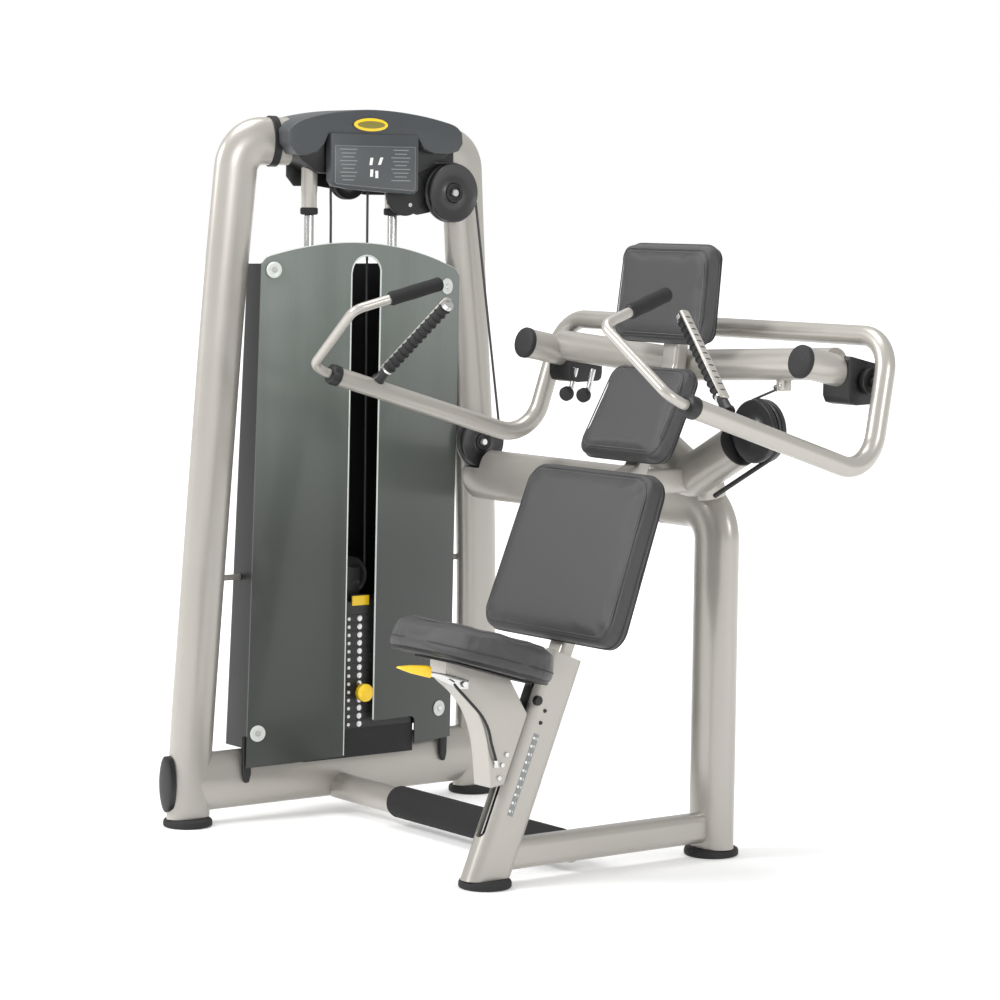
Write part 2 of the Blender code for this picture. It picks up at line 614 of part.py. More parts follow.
def build_shoulder():
    """Fixed shoulder beam with its forward stubs, caps and the two bearing blocks."""
    ends = (STUB_X - 0.010, SHOULDER_Y, SHOULDER_Z + SHOULDER_RISE)
    path = [(-ends[0], ends[1], ends[2]), (0, SHOULDER_Y, SHOULDER_Z), ends]
    tube("shoulder_beam", path, oval(2 * SHOULDER_R, 2 * SHOULDER_R, 24), (0, 1, 0), GREY)
    for side, word in ((-1, "left"), (1, "right")):
        front = Vector((side * STUB_X, -0.181, 1.121))
        rear = Vector((side * STUB_X, -0.050, 1.095))
        weld("shoulder_beam", rod(front, rear, SHOULDER_R - 0.0008, 24))
        outline = [(-0.0850, 1.045), (-0.060, 1.030), (0.000, 1.032), (0.010, 1.050), (0.010, 1.095),
                   (-0.008, 1.116),
                   (-0.085, 1.134)]
        low = min(side * 0.425, side * 0.504)
        high = max(side * 0.425, side * 0.504)
        name = f"bearing_block_{word}"
        emit(name, prism(outline, low, high), BLACK)
        shape = rod(front, rear + (rear - front).normalized() * GAP, SHOULDER_R - 0.0008 + GAP, 24)
        cut(name, shape)
        fit_to(name, "shoulder_beam")
        weld(name, rod((side * 0.490, PIVOT_Y, PIVOT_Z), (side * 0.560, PIVOT_Y, PIVOT_Z), PIVOT_R, 20))
    weld("shoulder_beam", block((0.286, FORK_Y - 0.011, 1.050), (0.308, FORK_Y + 0.011, 1.080)))
    fit_to("back_spine", "shoulder_beam")


def build_cables():
    """Drive cable at the fork, tower cable over the head, and the loop to the stack."""
    hub = fork_point(HUB_S)
    rc = HUB_R - GROOVE + CABLE_R + 0.0008
    wrap = arc((hub.x, FORK_Y, hub.z), rc, 108.0, -62.5, 14, 'XZ')
    tail = fork_point(0.055, -rc)
    tube("drive_cable", wrap + [tail], oval(2 * CABLE_R, 2 * CABLE_R, 10), (0, 1, 0), BLACK)
    weld("drive_cable", rod(wrap[0] + Vector((-0.004, 0, 0.001)), (0.2852, FORK_Y, 1.0555), 0.0026, 10))
    weld("drive_cable", block((wrap[0].x - 0.007, FORK_Y - 0.0036, wrap[0].z - 0.0005),
                              (wrap[0].x + 0.008, FORK_Y + 0.0036, wrap[0].z + 0.0075)))
    sx = STACK_X
    side = (TOWER_X + 0.055, -0.017, 0.864)
    r_side = 0.062 - GROOVE + CABLE_R + 0.0008
    r_big = BIG_PULLEY[2] - GROOVE + CABLE_R + 0.0008
    big = (BIG_X, BIG_PULLEY[0], BIG_PULLEY[1])
    r_front = FRONT_PULLEY[2] - GROOVE + CABLE_R + 0.0008
    front = (sx, FRONT_PULLEY[0], FRONT_PULLEY[1])
    path = arc(side, r_side, -80, 9, 8, 'YZ') + arc(big, r_big, 9, 92, 8, 'YZ') + arc(front, r_front, 90,
                                                                                      176, 8, 'YZ')
    path.append(Vector((sx, FRONT_PULLEY[0] - r_front + 0.0016, 1.400)))
    tube("tower_cable", path, oval(2 * CABLE_R, 2 * CABLE_R, 8), (0.9, 0.1, 0.1), BLACK)
    r_float = FLOAT_R - GROOVE + CABLE_R + 0.0008
    low = arc((sx, FLOAT_Y, FLOAT_Z), r_float, 179, 361, 14, 'YZ')
    path = [Vector((sx, FRONT_PULLEY[0] - r_front + 0.0016, 1.400 - GAP))] + low
    path.append(Vector((sx, FLOAT_Y + r_float, RAIL_Z0 - GAP)))
    tube("stack_cable", path, oval(2 * CABLE_R, 2 * CABLE_R, 8), (1, 0, 0), BLACK)


def mirror(point):
    """Return the point on the other side of the seat's middle plane."""
    return (-point[0], point[1], point[2])


def build_lever():
    """U-shaped press lever with its handles, grips and ribbed grips."""
    pivot = (0.0, PIVOT_Y, PIVOT_Z)
    points = [ARM_END, ARM_LOW, ARM_TOP, mirror(ARM_TOP), mirror(ARM_LOW), mirror(ARM_END)]
    path = bend(points, 0.085, 7)
    tube("lever_tube", path, oval(2 * LEVER_R, 2 * LEVER_R, 18), (1, 0, 0), GREY, pivot)
    for side in (-1, 1):
        bore = rod((side * 0.500, 0.0, 0.0), (side * 0.5605, 0.0, 0.0), PIVOT_R + GAP, 20)
        cut("lever_tube", bore)
    end = Vector(ARM_END)
    ahead = (end - Vector(ARM_LOW)).normalized()
    for flip, word in ((mirror, "left"), (tuple, "right")):
        name = f"handle_{word}"
        route = bend([flip(end + ahead * GAP), flip(end + ahead * 0.018)] + [flip(p) for p in HANDLE], 0.030,
                     5)
        tube(name, route, oval(2 * HANDLE_R, 2 * HANDLE_R, 14), (0, 0, 1), GREY, pivot)
        a = Vector(flip(HANDLE[1]))
        b = Vector(flip(HANDLE[2]))
        along = b - a
        length = along.length
        start = a + along * 0.42
        profile = [(0.0, HANDLE_R + 0.003), (0.004, GRIP_R), (0.58 * length + 0.004, GRIP_R),
                   (0.58 * length + 0.010, GRIP_R - 0.005)]
        foam = turned(profile, start, along, 18)
        bmesh.ops.translate(foam, verts=foam.verts, vec=-Vector(pivot))
        weld(name, foam)
        build_ribbed_grip(f"ribbed_grip_{word}", flip, pivot)


def fit_to_lever(name, neighbour):
    """Cope a lever piece to another piece of the lever."""
    path, section, side = SWEEPS[neighbour]
    shape = sweep(path, section, side, grow=GAP)
    bmesh.ops.translate(shape, verts=shape.verts, vec=-Vector(MADE[name].location))
    cut(name, shape)


def build_ribbed_grip(name, flip, pivot):
    """Rod that stands on the lever arm with a ribbed sleeve and an end cap."""
    low = Vector(flip(RIB_LOW))
    top = Vector(flip(RIB_TOP))
    along = (top - low).normalized()
    start = low - along * 0.052
    length = (top - low).length
    profile = [(0.0, 0.008), (0.050, 0.008), (0.050, 0.0125), (0.056, 0.0125)]
    ribs = 12
    for i in range(ribs):
        a = 0.058 + i * (length - 0.022) / ribs
        w = (length - 0.022) / ribs
        profile += [(a, RIB_R - 0.0030), (a + w * 0.25, RIB_R), (a + w * 0.70, RIB_R),
                    (a + w * 0.90, RIB_R - 0.0030)]
    end = 0.052 + length
    profile += [(end - 0.011, 0.0125), (end - 0.002, 0.0125), (end, 0.0100)]
    emit(name, turned(profile, start, along, 14), RUBBER, pivot)
    fit_to_lever(name, "lever_tube")


def cushion(width_low, width_high, length, thickness, corner, dome):
    """Return a pad lying in XY, foot edge at y = 0, back on z = 0."""
    bm = bmesh.new()
    layers = ((0.006, 0.0), (0.0, 0.008), (0.0, thickness * 0.62), (0.006, thickness * 0.86),
              (0.020, thickness),
              (0.060, thickness + dome))
    rings = []
    for inset, z in layers:
        section = rounded(1.0, length - 2 * inset, max(corner - inset * 0.5, 0.02), 5)
        ring = []
        for a, b in section:
            k = (b + length / 2) / length
            width = width_low + (width_high - width_low) * k - 2 * inset
            reach = max(corner - inset * 0.5, 0.02)
            side = math.copysign(1.0, a)
            x = side * (width / 2 - reach) + (a - side * (0.5 - reach))
            ring.append(bm.verts.new((x, b + length / 2, z)))
        rings.append(ring)
    for low, high in zip(rings, rings[1:]):
        for j in range(len(low)):
            k = (j + 1) % len(low)
            bm.faces.new((low[j], low[k], high[k], high[j]))
    bm.faces.new(rings[0])
    bm.faces.new(rings[-1])
    return bm


def build_pads():
    """Lower back pad, upper back pad and head pad on the spine."""
    for name, spec, corner in (("lower_back_pad", LOWER_PAD, LOWER_CORNER),
                               ("upper_back_pad", UPPER_PAD, UPPER_CORNER),
                               ("head_pad", HEAD_PAD, HEAD_CORNER)):
        width_low, width_high, length, thickness, y, z, lean = spec
        bm = cushion(width_low, width_high, length, thickness - 0.006, corner, 0.006)
        up = Vector((0, math.sin(lean), math.cos(lean)))
        out = Vector((0, -math.cos(lean), math.sin(lean)))
        turn = Matrix((Vector((1, 0, 0)), up, out)).transposed().to_4x4()
        foot = Vector((0, y, z)) - out * thickness
        turn.translation = foot
        bmesh.ops.transform(bm, matrix=turn, verts=bm.verts)
        emit(name, bm, VINYL)


def build_seat():
    """Seat pad, its carriage on the column and the release lever."""
    bm = cushion(SEAT_W, SEAT_W * 0.94, SEAT_L, SEAT_T - 0.006, SEAT_CORNER, 0.006)
    tilt = Matrix.Rotation(-SEAT_TILT, 4, 'X')
    tilt.translation = Vector((0, SEAT_Y, SEAT_Z)) + tilt.to_3x3() @ Vector((0, -SEAT_L / 2, -SEAT_T / 2))
    bmesh.ops.transform(bm, matrix=tilt, verts=bm.verts)
    emit("seat_pad", bm, VINYL)
    lean = Vector((0, math.sin(COLUMN_LEAN), math.cos(COLUMN_LEAN)))
    front = Vector((0, -math.cos(COLUMN_LEAN), math.sin(COLUMN_LEAN)))
    foot = Vector((0, COLUMN_FOOT_Y, FOOT_H))
    face = COLUMN_D / 2 + RUN
    low = foot + lean * 0.195 + front * face
    high = foot + lean * 0.352 + front * face
    under = SEAT_T / 2 + 0.0004

    def seat_under(y):
        """Underside of the tilted pad at y."""
        return SEAT_Z - under / math.cos(SEAT_TILT) - (y - SEAT_Y) * math.tan(SEAT_TILT)

    outline = [(low.y, low.z), (high.y, high.z), (-0.590, seat_under(-0.590)), (-0.753, seat_under(-0.753)),
               (-0.753, 0.460), (-0.699, 0.418), (-0.660, 0.362), (-0.644, 0.300), (-0.636, 0.216)]
    emit("seat_carriage", prism(outline, -0.030, 0.030), GREY)
    deep = COLUMN_D / 2 - KEY_D + 0.0005
    key = [foot + lean * a + front * b
           for a, b in ((0.235, deep), (0.404, deep), (0.404, face + 0.004), (0.235, face + 0.004))]
    weld("seat_carriage", prism([(p.y, p.z) for p in key], -KEY_W / 2 + 0.0005, KEY_W / 2 - 0.0005))
    hinge = Vector((0.0545, -0.760, 0.448))
    weld("seat_carriage", rod((0.020, hinge.y + 0.045, hinge.z - 0.004),
                              (0.046, hinge.y + 0.045, hinge.z - 0.004), 0.005))
    axle = Vector((0.0, -0.715, 0.444))
    shape = [(-0.728, 0.434), (-0.703, 0.432), (-0.702, 0.452), (-0.760, 0.470), (-0.880, 0.4935),
             (-0.885, 0.484), (-0.800, 0.466)]
    emit("seat_lever", prism(shape, 0.0310, 0.0410), YELLOW, axle)
    bm = rod((0.0, 0.0, 0.0), (0.06, 0.0, 0.0), 0.005 + GAP)
    cut("seat_lever", bm)


def settle():
    """Put the middle of the whole machine's footprint on the origin."""
    graph = bpy.context.evaluated_depsgraph_get()
    low = Vector((1e9, 1e9, 1e9))
    high = -low
    for obj in PARTS.objects:
        shown = obj.evaluated_get(graph)
        for corner in shown.bound_box:
            point = obj.matrix_world @ Vector(corner)
            for i in range(3):
                low[i] = min(low[i], point[i])
                high[i] = max(high[i], point[i])
    shift = Vector((-(low.x + high.x) / 2, -(low.y + high.y) / 2, -low.z))
    for obj in list(PARTS.objects) + list(CUTTERS.objects):
        obj.location = obj.location + shift


build_tower()
build_head()
build_shroud()
build_stack()
build_frame()
build_shoulder()
build_cables()
build_lever()
build_pads()
build_seat()
for lever_piece in MADE.values():
    for change in lever_piece.modifiers:
        if lever_piece.location.length > 0:
            change.object.location = lever_piece.location
bpy.context.view_layer.update()
settle()
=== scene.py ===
"""Looks of the shoulder press machine: finishes, pads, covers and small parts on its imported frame.

Sizes are in metres. Pieces are drawn in machine coordinates, whose origin is the middle of
the rear post's foot with the user facing -Y, and Maker carries them onto the frame.
"""
import logging
import math
from dataclasses import dataclass, field
from enum import Enum
from typing import Callable, Optional, Sequence

import bmesh
import bpy
from mathutils import Matrix, Vector
from mathutils.bvhtree import BVHTree


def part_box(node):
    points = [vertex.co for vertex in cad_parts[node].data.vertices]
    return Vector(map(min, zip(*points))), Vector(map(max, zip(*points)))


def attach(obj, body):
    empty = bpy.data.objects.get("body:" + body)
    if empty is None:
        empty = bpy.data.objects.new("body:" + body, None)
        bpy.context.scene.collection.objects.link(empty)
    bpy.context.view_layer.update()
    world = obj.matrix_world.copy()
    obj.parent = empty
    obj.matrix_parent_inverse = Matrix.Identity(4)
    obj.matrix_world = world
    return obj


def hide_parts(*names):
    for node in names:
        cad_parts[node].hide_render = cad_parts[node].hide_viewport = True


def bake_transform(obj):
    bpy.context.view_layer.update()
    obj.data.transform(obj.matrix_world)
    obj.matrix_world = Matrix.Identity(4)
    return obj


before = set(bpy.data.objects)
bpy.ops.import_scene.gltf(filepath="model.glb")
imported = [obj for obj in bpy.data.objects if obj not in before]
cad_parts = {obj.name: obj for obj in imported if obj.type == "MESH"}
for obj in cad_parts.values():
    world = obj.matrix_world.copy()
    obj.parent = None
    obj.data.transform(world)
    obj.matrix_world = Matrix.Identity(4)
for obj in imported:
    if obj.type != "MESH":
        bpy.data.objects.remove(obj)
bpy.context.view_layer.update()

LOG = logging.getLogger("shoulder_press")
Section = list[tuple[float, float]]
POST_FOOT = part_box("foot_post")
ORIGIN = Vector(((POST_FOOT[0].x + POST_FOOT[1].x) / 2, (POST_FOOT[0].y + POST_FOOT[1].y) / 2, 0.0))
TOWER_X = -0.915
STACK_X = TOWER_X + 0.010
SEAT_TILT = math.radians(16.5)
SEAT_Y = -0.6600
SEAT_Z = 0.5095


# ---------------------------------------------------------------- shapes

def oval(width: float, height: float, count: int = 56) -> Section:
    """Return an oval section.

    Args:
        width: full width along the section's first axis.
        height: full height.
        count: number of corners.
    Returns:
        The section's points.
    """
    turn = 2 * math.pi / count
    return [(width / 2 * math.cos(turn * i), height / 2 * math.sin(turn * i)) for i in range(count)]


def rounded(width: float, height: float, radius: float, steps: int = 8) -> Section:
    """Return a rectangle with round corners.

    Args:
        width: full width.
        height: full height.
        radius: corner radius.
        steps: segments in each corner.
    Returns:
        The section's points.
    """
    points = []
    for quarter, (sx, sy) in enumerate(((1, 1), (-1, 1), (-1, -1), (1, -1))):
        for i in range(steps + 1):
            angle = math.pi / 2 * (quarter + i / steps)
            points.append((sx * (width / 2 - radius) + radius * math.cos(angle),
                           sy * (height / 2 - radius) + radius * math.sin(angle)))
    return points


def bend(points: Sequence[Sequence[float]], radius: float, steps: int = 14) -> list[Vector]:
    """Round the inner corners of a path.

    Args:
        points: corners of the path.
        radius: bend radius.
        steps: segments in each bend.
    Returns:
        The rounded path.
    """
    points = [Vector(p) for p in points]
    path = [points[0]]
    for before, corner, after in zip(points, points[1:], points[2:]):
        a = (before - corner).normalized()
        b = (after - corner).normalized()
        turn = math.pi - a.angle(b)
        if turn < 0.01:
            path.append(corner)
            continue
        room = 0.48 * min((before - corner).length, (after - corner).length)
        reach = min(radius * math.tan(turn / 2), room)
        if turn < 0.08:
            reach = room
        arc_radius = reach / math.tan(turn / 2)
        centre = corner + (a + b).normalized() * (arc_radius / math.cos(turn / 2))
        start = corner + a * reach - centre
        axis = start.cross(corner + b * reach - centre).normalized()
        path += [centre + Matrix.Rotation(turn * i / steps, 3, axis) @ start for i in range(steps + 1)]
    path.append(points[-1])
    return path


def flowing(points: Sequence[Sequence[float]], steps: int = 8, closed: bool = False) -> list[Vector]:
    """Return a smooth line through the points.

    Args:
        points: points on the line.
        steps: segments between two points.
        closed: whether the line runs back to its start.
    Returns:
        The points of a Catmull-Rom line.
    """
    points = [Vector(p) for p in points]
    count = len(points)
    line = []
    for i in range(count if closed else count - 1):
        if closed:
            p0, p1, p2, p3 = (points[(i + k) % count] for k in (-1, 0, 1, 2))
        else:
            p0, p1, p2, p3 = (points[min(max(i + k, 0), count - 1)] for k in (-1, 0, 1, 2))
        for step in range(steps):
            t = step / steps
            line.append(0.5 * (2 * p1 + (p2 - p0) * t + (2 * p0 - 5 * p1 + 4 * p2 - p3) * t * t
                               + (3 * p1 - p0 - 3 * p2 + p3) * t ** 3))
    if not closed:
        line.append(points[-1])
    return line


def skin(bm: bmesh.types.BMesh, rings: Sequence[list], closed: bool = False) -> None:
    """Join rings of vertices with faces.

    Args:
        bm: the body that holds the vertices.
        rings: the rings, in order.
        closed: whether the last ring joins the first; otherwise both ends are capped.
    """
    pairs = list(zip(rings, rings[1:]))
    if closed:
        pairs.append((rings[-1], rings[0]))
    for low, high in pairs:
        for j in range(len(low)):
            k = (j + 1) % len(low)
            bm.faces.new((low[j], low[k], high[k], high[j]))
    if not closed:
        bm.faces.new(list(reversed(rings[0])))
        bm.faces.new(rings[-1])


def sweep(path: Sequence[Vector], section: Section, side: Sequence[float], dome: float = 0.0,
          closed: bool = False) -> bmesh.types.BMesh:
    """Carry a closed section along a path.

    Args:
        path: centreline.
        section: the section's points.
        side: direction of the section's first axis at the start.
        dome: how far the two ends stand out as round caps.
        closed: whether the path is a loop.
    Returns:
        The swept body.
    """
    path = [Vector(p) for p in path]
    stations = [(p, 1.0) for p in path]
    if dome:
        first = (path[0] - path[1]).normalized()
        last = (path[-1] - path[-2]).normalized()
        turns = [math.radians(a) for a in (22, 45, 65, 80)]
        stations = ([(path[0] + first * dome * math.sin(a), math.cos(a)) for a in reversed(turns)] + stations
                    + [(path[-1] + last * dome * math.sin(a), math.cos(a)) for a in turns])
    bm = bmesh.new()
    side = Vector(side)
    rings = []
    count = len(stations)
    for i, (point, scale) in enumerate(stations):
        if closed:
            ahead = stations[(i + 1) % count][0] - point
            behind = point - stations[i - 1][0]
        else:
            ahead = stations[min(i + 1, count - 1)][0] - point
            behind = point - stations[max(i - 1, 0)][0]
        tangent = (ahead.normalized() + behind.normalized()).normalized()
        side = (side - tangent * side.dot(tangent)).normalized()
        other = tangent.cross(side)
        rings.append([bm.verts.new(point + side * (a * scale) + other * (b * scale)) for a, b in section])
    skin(bm, rings, closed)
    return bm


def turned(profile: Section, centre: Sequence[float], axis: Sequence[float], count: int = 56,
           closed: bool = False) -> bmesh.types.BMesh:
    """Revolve a profile.

    Args:
        profile: (distance along the axis, radius) pairs.
        centre: where the distance is nought.
        axis: direction of the axis.
        count: segments round the axis.
        closed: whether the profile's last point joins its first.
    Returns:
        The turned body.
    """
    axis = Vector(axis).normalized()
    centre = Vector(centre)
    side = axis.orthogonal().normalized()
    other = axis.cross(side)
    bm = bmesh.new()
    rings = []
    for along, radius in profile:
        ring = []
        for i in range(count):
            angle = 2 * math.pi * i / count
            ring.append(bm.verts.new(centre + axis * along + side * (radius * math.cos(angle))
                                     + other * (radius * math.sin(angle))))
        rings.append(ring)
    skin(bm, rings, closed)
    return bm


def rod(start: Sequence[float], end: Sequence[float], radius: float, round_off: float = 0.0008,
        count: int = 32) -> bmesh.types.BMesh:
    """Return a cylinder with eased rims.

    Args:
        start: centre of the first end.
        end: centre of the other end.
        radius: radius.
        round_off: size of the eased rims.
        count: segments.
    Returns:
        The rod.
    """
    start = Vector(start)
    end = Vector(end)
    length = (end - start).length
    profile = [(0.0, radius - round_off), (round_off * 0.3, radius - round_off * 0.3), (round_off, radius),
               (length - round_off, radius), (length - round_off * 0.3, radius - round_off * 0.3),
               (length, radius - round_off)]
    return turned(profile, start, end - start, count)


def prism(outline: Section, low: float, high: float) -> bmesh.types.BMesh:
    """Extrude a (y, z) outline from x = low to x = high."""
    bm = bmesh.new()
    skin(bm, [[bm.verts.new((x, y, z)) for y, z in outline] for x in (low, high)])
    return bm


def block(low: Sequence[float], high: Sequence[float]) -> bmesh.types.BMesh:
    """Return a box between two corners."""
    outline = [(low[1], low[2]), (high[1], low[2]), (high[1], high[2]), (low[1], high[2])]
    return prism(outline, low[0], high[0])


def join(first: bmesh.types.BMesh, *others: bmesh.types.BMesh) -> bmesh.types.BMesh:
    """Put other bodies into the first mesh and return it."""
    for other in others:
        carrier = bpy.data.meshes.new("carrier")
        other.to_mesh(carrier)
        other.free()
        first.from_mesh(carrier)
        bpy.data.meshes.remove(carrier)
    return first


def eased(bm: bmesh.types.BMesh, width: float, segments: int = 3, angle: float = 28.0) -> bmesh.types.BMesh:
    """Round the sharp edges of a body.

    Args:
        bm: the body.
        width: width of the rounding.
        segments: faces across it.
        angle: edges that turn more than this are rounded, in degrees.
    Returns:
        The same body.
    """
    bmesh.ops.recalc_face_normals(bm, faces=bm.faces)
    limit = math.radians(angle)
    edges = [e for e in bm.edges if len(e.link_faces) == 2 and e.calc_face_angle(0.0) > limit]
    bmesh.ops.bevel(bm, geom=edges, offset=width, segments=segments, profile=0.5, affect='EDGES',
                    clamp_overlap=True)
    return bm


def as_mesh(bm: bmesh.types.BMesh, name: str) -> bpy.types.Object:
    """Turn a body into a linked object in machine coordinates."""
    bmesh.ops.recalc_face_normals(bm, faces=bm.faces)
    mesh = bpy.data.meshes.new(name)
    bm.to_mesh(mesh)
    bm.free()
    obj = bpy.data.objects.new(name, mesh)
    bpy.context.scene.collection.objects.link(obj)
    return obj


def settled(obj: bpy.types.Object) -> bpy.types.Mesh:
    """Return the object's mesh with its modifiers applied, and take the object away."""
    graph = bpy.context.evaluated_depsgraph_get()
    graph.update()
    mesh = bpy.data.meshes.new_from_object(obj.evaluated_get(graph))
    bpy.data.objects.remove(obj)
    return mesh


def carved(bm: bmesh.types.BMesh, *cutters: bmesh.types.BMesh) -> bmesh.types.BMesh:
    """Take the cutters away from a body and return what is left."""
    body = as_mesh(bm, "body")
    tools = []
    for cutter in cutters:
        tool = as_mesh(cutter, "cutter")
        tools.append(tool)
        change = body.modifiers.new("cut", 'BOOLEAN')
        change.operation = 'DIFFERENCE'
        change.solver = 'EXACT'
        change.object = tool
    mesh = settled(body)
    for tool in tools:
        bpy.data.objects.remove(tool)
    left = bmesh.new()
    left.from_mesh(mesh)
    bpy.data.meshes.remove(mesh)
    return left


def turned_to(along: Sequence[float], place: Sequence[float], up: Sequence[float] = (0, 0, 1)) -> Matrix:
    """Return the matrix that lays local Z along a direction, at a place."""
    z = Vector(along).normalized()
    x = Vector(up).cross(z)
    if x.length < 1e-4:
        x = Vector((1, 0, 0))
    x.normalize()
    matrix = Matrix((x, z.cross(x), z)).transposed().to_4x4()
    matrix.translation = Vector(place)
    return matrix


# ---------------------------------------------------------------- finishes

class Graph:
    """Small helper that adds nodes and links to a node tree."""

    def __init__(self, tree: bpy.types.NodeTree) -> None:
        """Keep the tree that nodes are added to."""
        self.tree = tree

    def add(self, kind: str, inputs: Optional[dict] = None, **settings: object) -> bpy.types.Node:
        """Add a node.

        Args:
            kind: node type.
            inputs: socket name or number to a value, or to a (node, output) pair that is linked.
            settings: node properties.
        Returns:
            The node.
        """
        node = self.tree.nodes.new(kind)
        for key, value in settings.items():
            setattr(node, key, value)
        for key, value in (inputs or {}).items():
            if isinstance(value, tuple) and len(value) == 2 and isinstance(value[0], bpy.types.Node):
                self.tree.links.new(value[0].outputs[value[1]], node.inputs[key])
            else:
                node.inputs[key].default_value = value
        return node

    def maths(self, operation: str, a: object, b: object = 0.0, clamp: bool = False) -> tuple:
        """Add a Math node and return its output pair."""
        node = self.add("ShaderNodeMath", {0: a, 1: b}, operation=operation, use_clamp=clamp)
        return (node, "Value")

    def blend(self, share: object, first: object, second: object) -> tuple:
        """Add a colour mix and return its output pair."""
        node = self.add("ShaderNodeMix", {0: share, 6: first, 7: second}, data_type='RGBA')
        return (node, 2)


def group(name: str, inputs: dict, outputs: dict) -> tuple:
    """Start a shader group.

    Args:
        name: the group's name.
        inputs: socket name to (socket type, value).
        outputs: socket name to socket type.
    Returns:
        The tree, its Graph and its Group Input node.
    """
    tree = bpy.data.node_groups.new(name, "ShaderNodeTree")
    for label, (kind, value) in inputs.items():
        socket = tree.interface.new_socket(name=label, in_out='INPUT', socket_type=kind)
        if value is not None:
            socket.default_value = value
    for label, kind in outputs.items():
        tree.interface.new_socket(name=label, in_out='OUTPUT', socket_type=kind)
    graph = Graph(tree)
    return tree, graph, graph.add("NodeGroupInput")


FLOAT = "NodeSocketFloat"
COLOUR = "NodeSocketColor"
VECTOR = "NodeSocketVector"


def fine_grain() -> bpy.types.NodeTree:
    """Moulded or sprayed surface: a fine relief with slow changes of tone."""
    tree, g, given = group("fine_grain", {"Vector": (VECTOR, None), "Scale": (FLOAT, 900.0)},
                           {"Height": FLOAT, "Tone": FLOAT})
    small = g.add("ShaderNodeTexNoise", {"Vector": (given, "Vector"), "Scale": (given, "Scale"),
                                         "Detail": 2.0})
    slow = g.add("ShaderNodeTexNoise", {"Vector": (given, "Vector"), "Scale": 7.0, "Detail": 5.0,
                                        "Roughness": 0.62})
    g.add("NodeGroupOutput", {"Height": (small, "Fac"), "Tone": (slow, "Fac")})
    return tree


def hide_grain() -> bpy.types.NodeTree:
    """Embossed upholstery: rounded cells with soft valleys and slow changes of tone."""
    tree, g, given = group("hide_grain", {"Vector": (VECTOR, None), "Scale": (FLOAT, 620.0)},
                           {"Height": FLOAT, "Tone": FLOAT})
    wobble = g.add("ShaderNodeTexNoise", {"Vector": (given, "Vector"), "Scale": 260.0, "Detail": 2.0})
    shifted = g.add("ShaderNodeVectorMath",
                    {0: (wobble, "Color"), 1: (wobble, "Color"), 2: (given, "Vector")},
                    operation='MULTIPLY_ADD')
    cells = g.add("ShaderNodeTexVoronoi", {"Vector": (shifted, "Vector"), "Scale": (given, "Scale")},
                  feature='DISTANCE_TO_EDGE')
    soft = g.add("ShaderNodeMapRange", {"Value": (cells, "Distance"), "From Max": 0.32},
                 interpolation_type='SMOOTHSTEP')
    slow = g.add("ShaderNodeTexNoise", {"Vector": (given, "Vector"), "Scale": 9.0, "Detail": 4.0})
    g.add("NodeGroupOutput", {"Height": (soft, "Result"), "Tone": (slow, "Fac")})
    return tree


def brushed_grain() -> bpy.types.NodeTree:
    """Drawn or brushed metal: hair lines along Z."""
    tree, g, given = group("brushed_grain", {"Vector": (VECTOR, None), "Scale": (FLOAT, 1500.0)},
                           {"Height": FLOAT, "Tone": FLOAT})
    stretch = g.add("ShaderNodeVectorMath", {0: (given, "Vector"), 1: (1.0, 1.0, 0.03)}, operation='MULTIPLY')
    lines = g.add("ShaderNodeTexNoise", {"Vector": (stretch, "Vector"), "Scale": (given, "Scale"),
                                         "Detail": 2.0})
    slow = g.add("ShaderNodeTexNoise", {"Vector": (given, "Vector"), "Scale": 24.0, "Detail": 3.0})
    g.add("NodeGroupOutput", {"Height": (lines, "Fac"), "Tone": (slow, "Fac")})
    return tree


def handling_wear() -> bpy.types.NodeTree:
    """Small rubbed spots where hands, shoes and plates touch."""
    tree, g, given = group("handling_wear", {"Vector": (VECTOR, None), "Color": (COLOUR, None),
                                             "Worn Color": (COLOUR, None), "Amount": (FLOAT, 0.2)},
                           {"Color": COLOUR, "Mask": FLOAT})
    patches = g.add("ShaderNodeTexNoise", {"Vector": (given, "Vector"), "Scale": 38.0, "Detail": 9.0,
                                           "Roughness": 0.72})
    mask = g.add("ShaderNodeMapRange", {"Value": (patches, "Fac"), "From Min": 0.60, "From Max": 0.70})
    share = g.maths('MULTIPLY', (mask, "Result"), (given, "Amount"), clamp=True)
    colour = g.blend(share, (given, "Color"), (given, "Worn Color"))
    g.add("NodeGroupOutput", {"Color": colour, "Mask": share})
    return tree


def settled_dust() -> bpy.types.NodeTree:
    """A trace of pale dust on faces that look up."""
    tree, g, given = group("settled_dust", {"Vector": (VECTOR, None), "Color": (COLOUR, None),
                                            "Amount": (FLOAT, 0.05)}, {"Color": COLOUR, "Mask": FLOAT})
    facing = g.add("ShaderNodeNewGeometry")
    parts = g.add("ShaderNodeSeparateXYZ", {"Vector": (facing, "Normal")})
    specks = g.add("ShaderNodeTexNoise", {"Vector": (given, "Vector"), "Scale": 60.0, "Detail": 6.0})
    up = g.maths('MULTIPLY', (parts, "Z"), (specks, "Fac"), clamp=True)
    share = g.maths('MULTIPLY', up, (given, "Amount"), clamp=True)
    colour = g.blend(share, (given, "Color"), (0.42, 0.40, 0.37, 1.0))
    g.add("NodeGroupOutput", {"Color": colour, "Mask": share})
    return tree


class Grain(Enum):
    """The relief that a finish has."""

    FINE = "fine"
    HIDE = "hide"
    BRUSHED = "brushed"


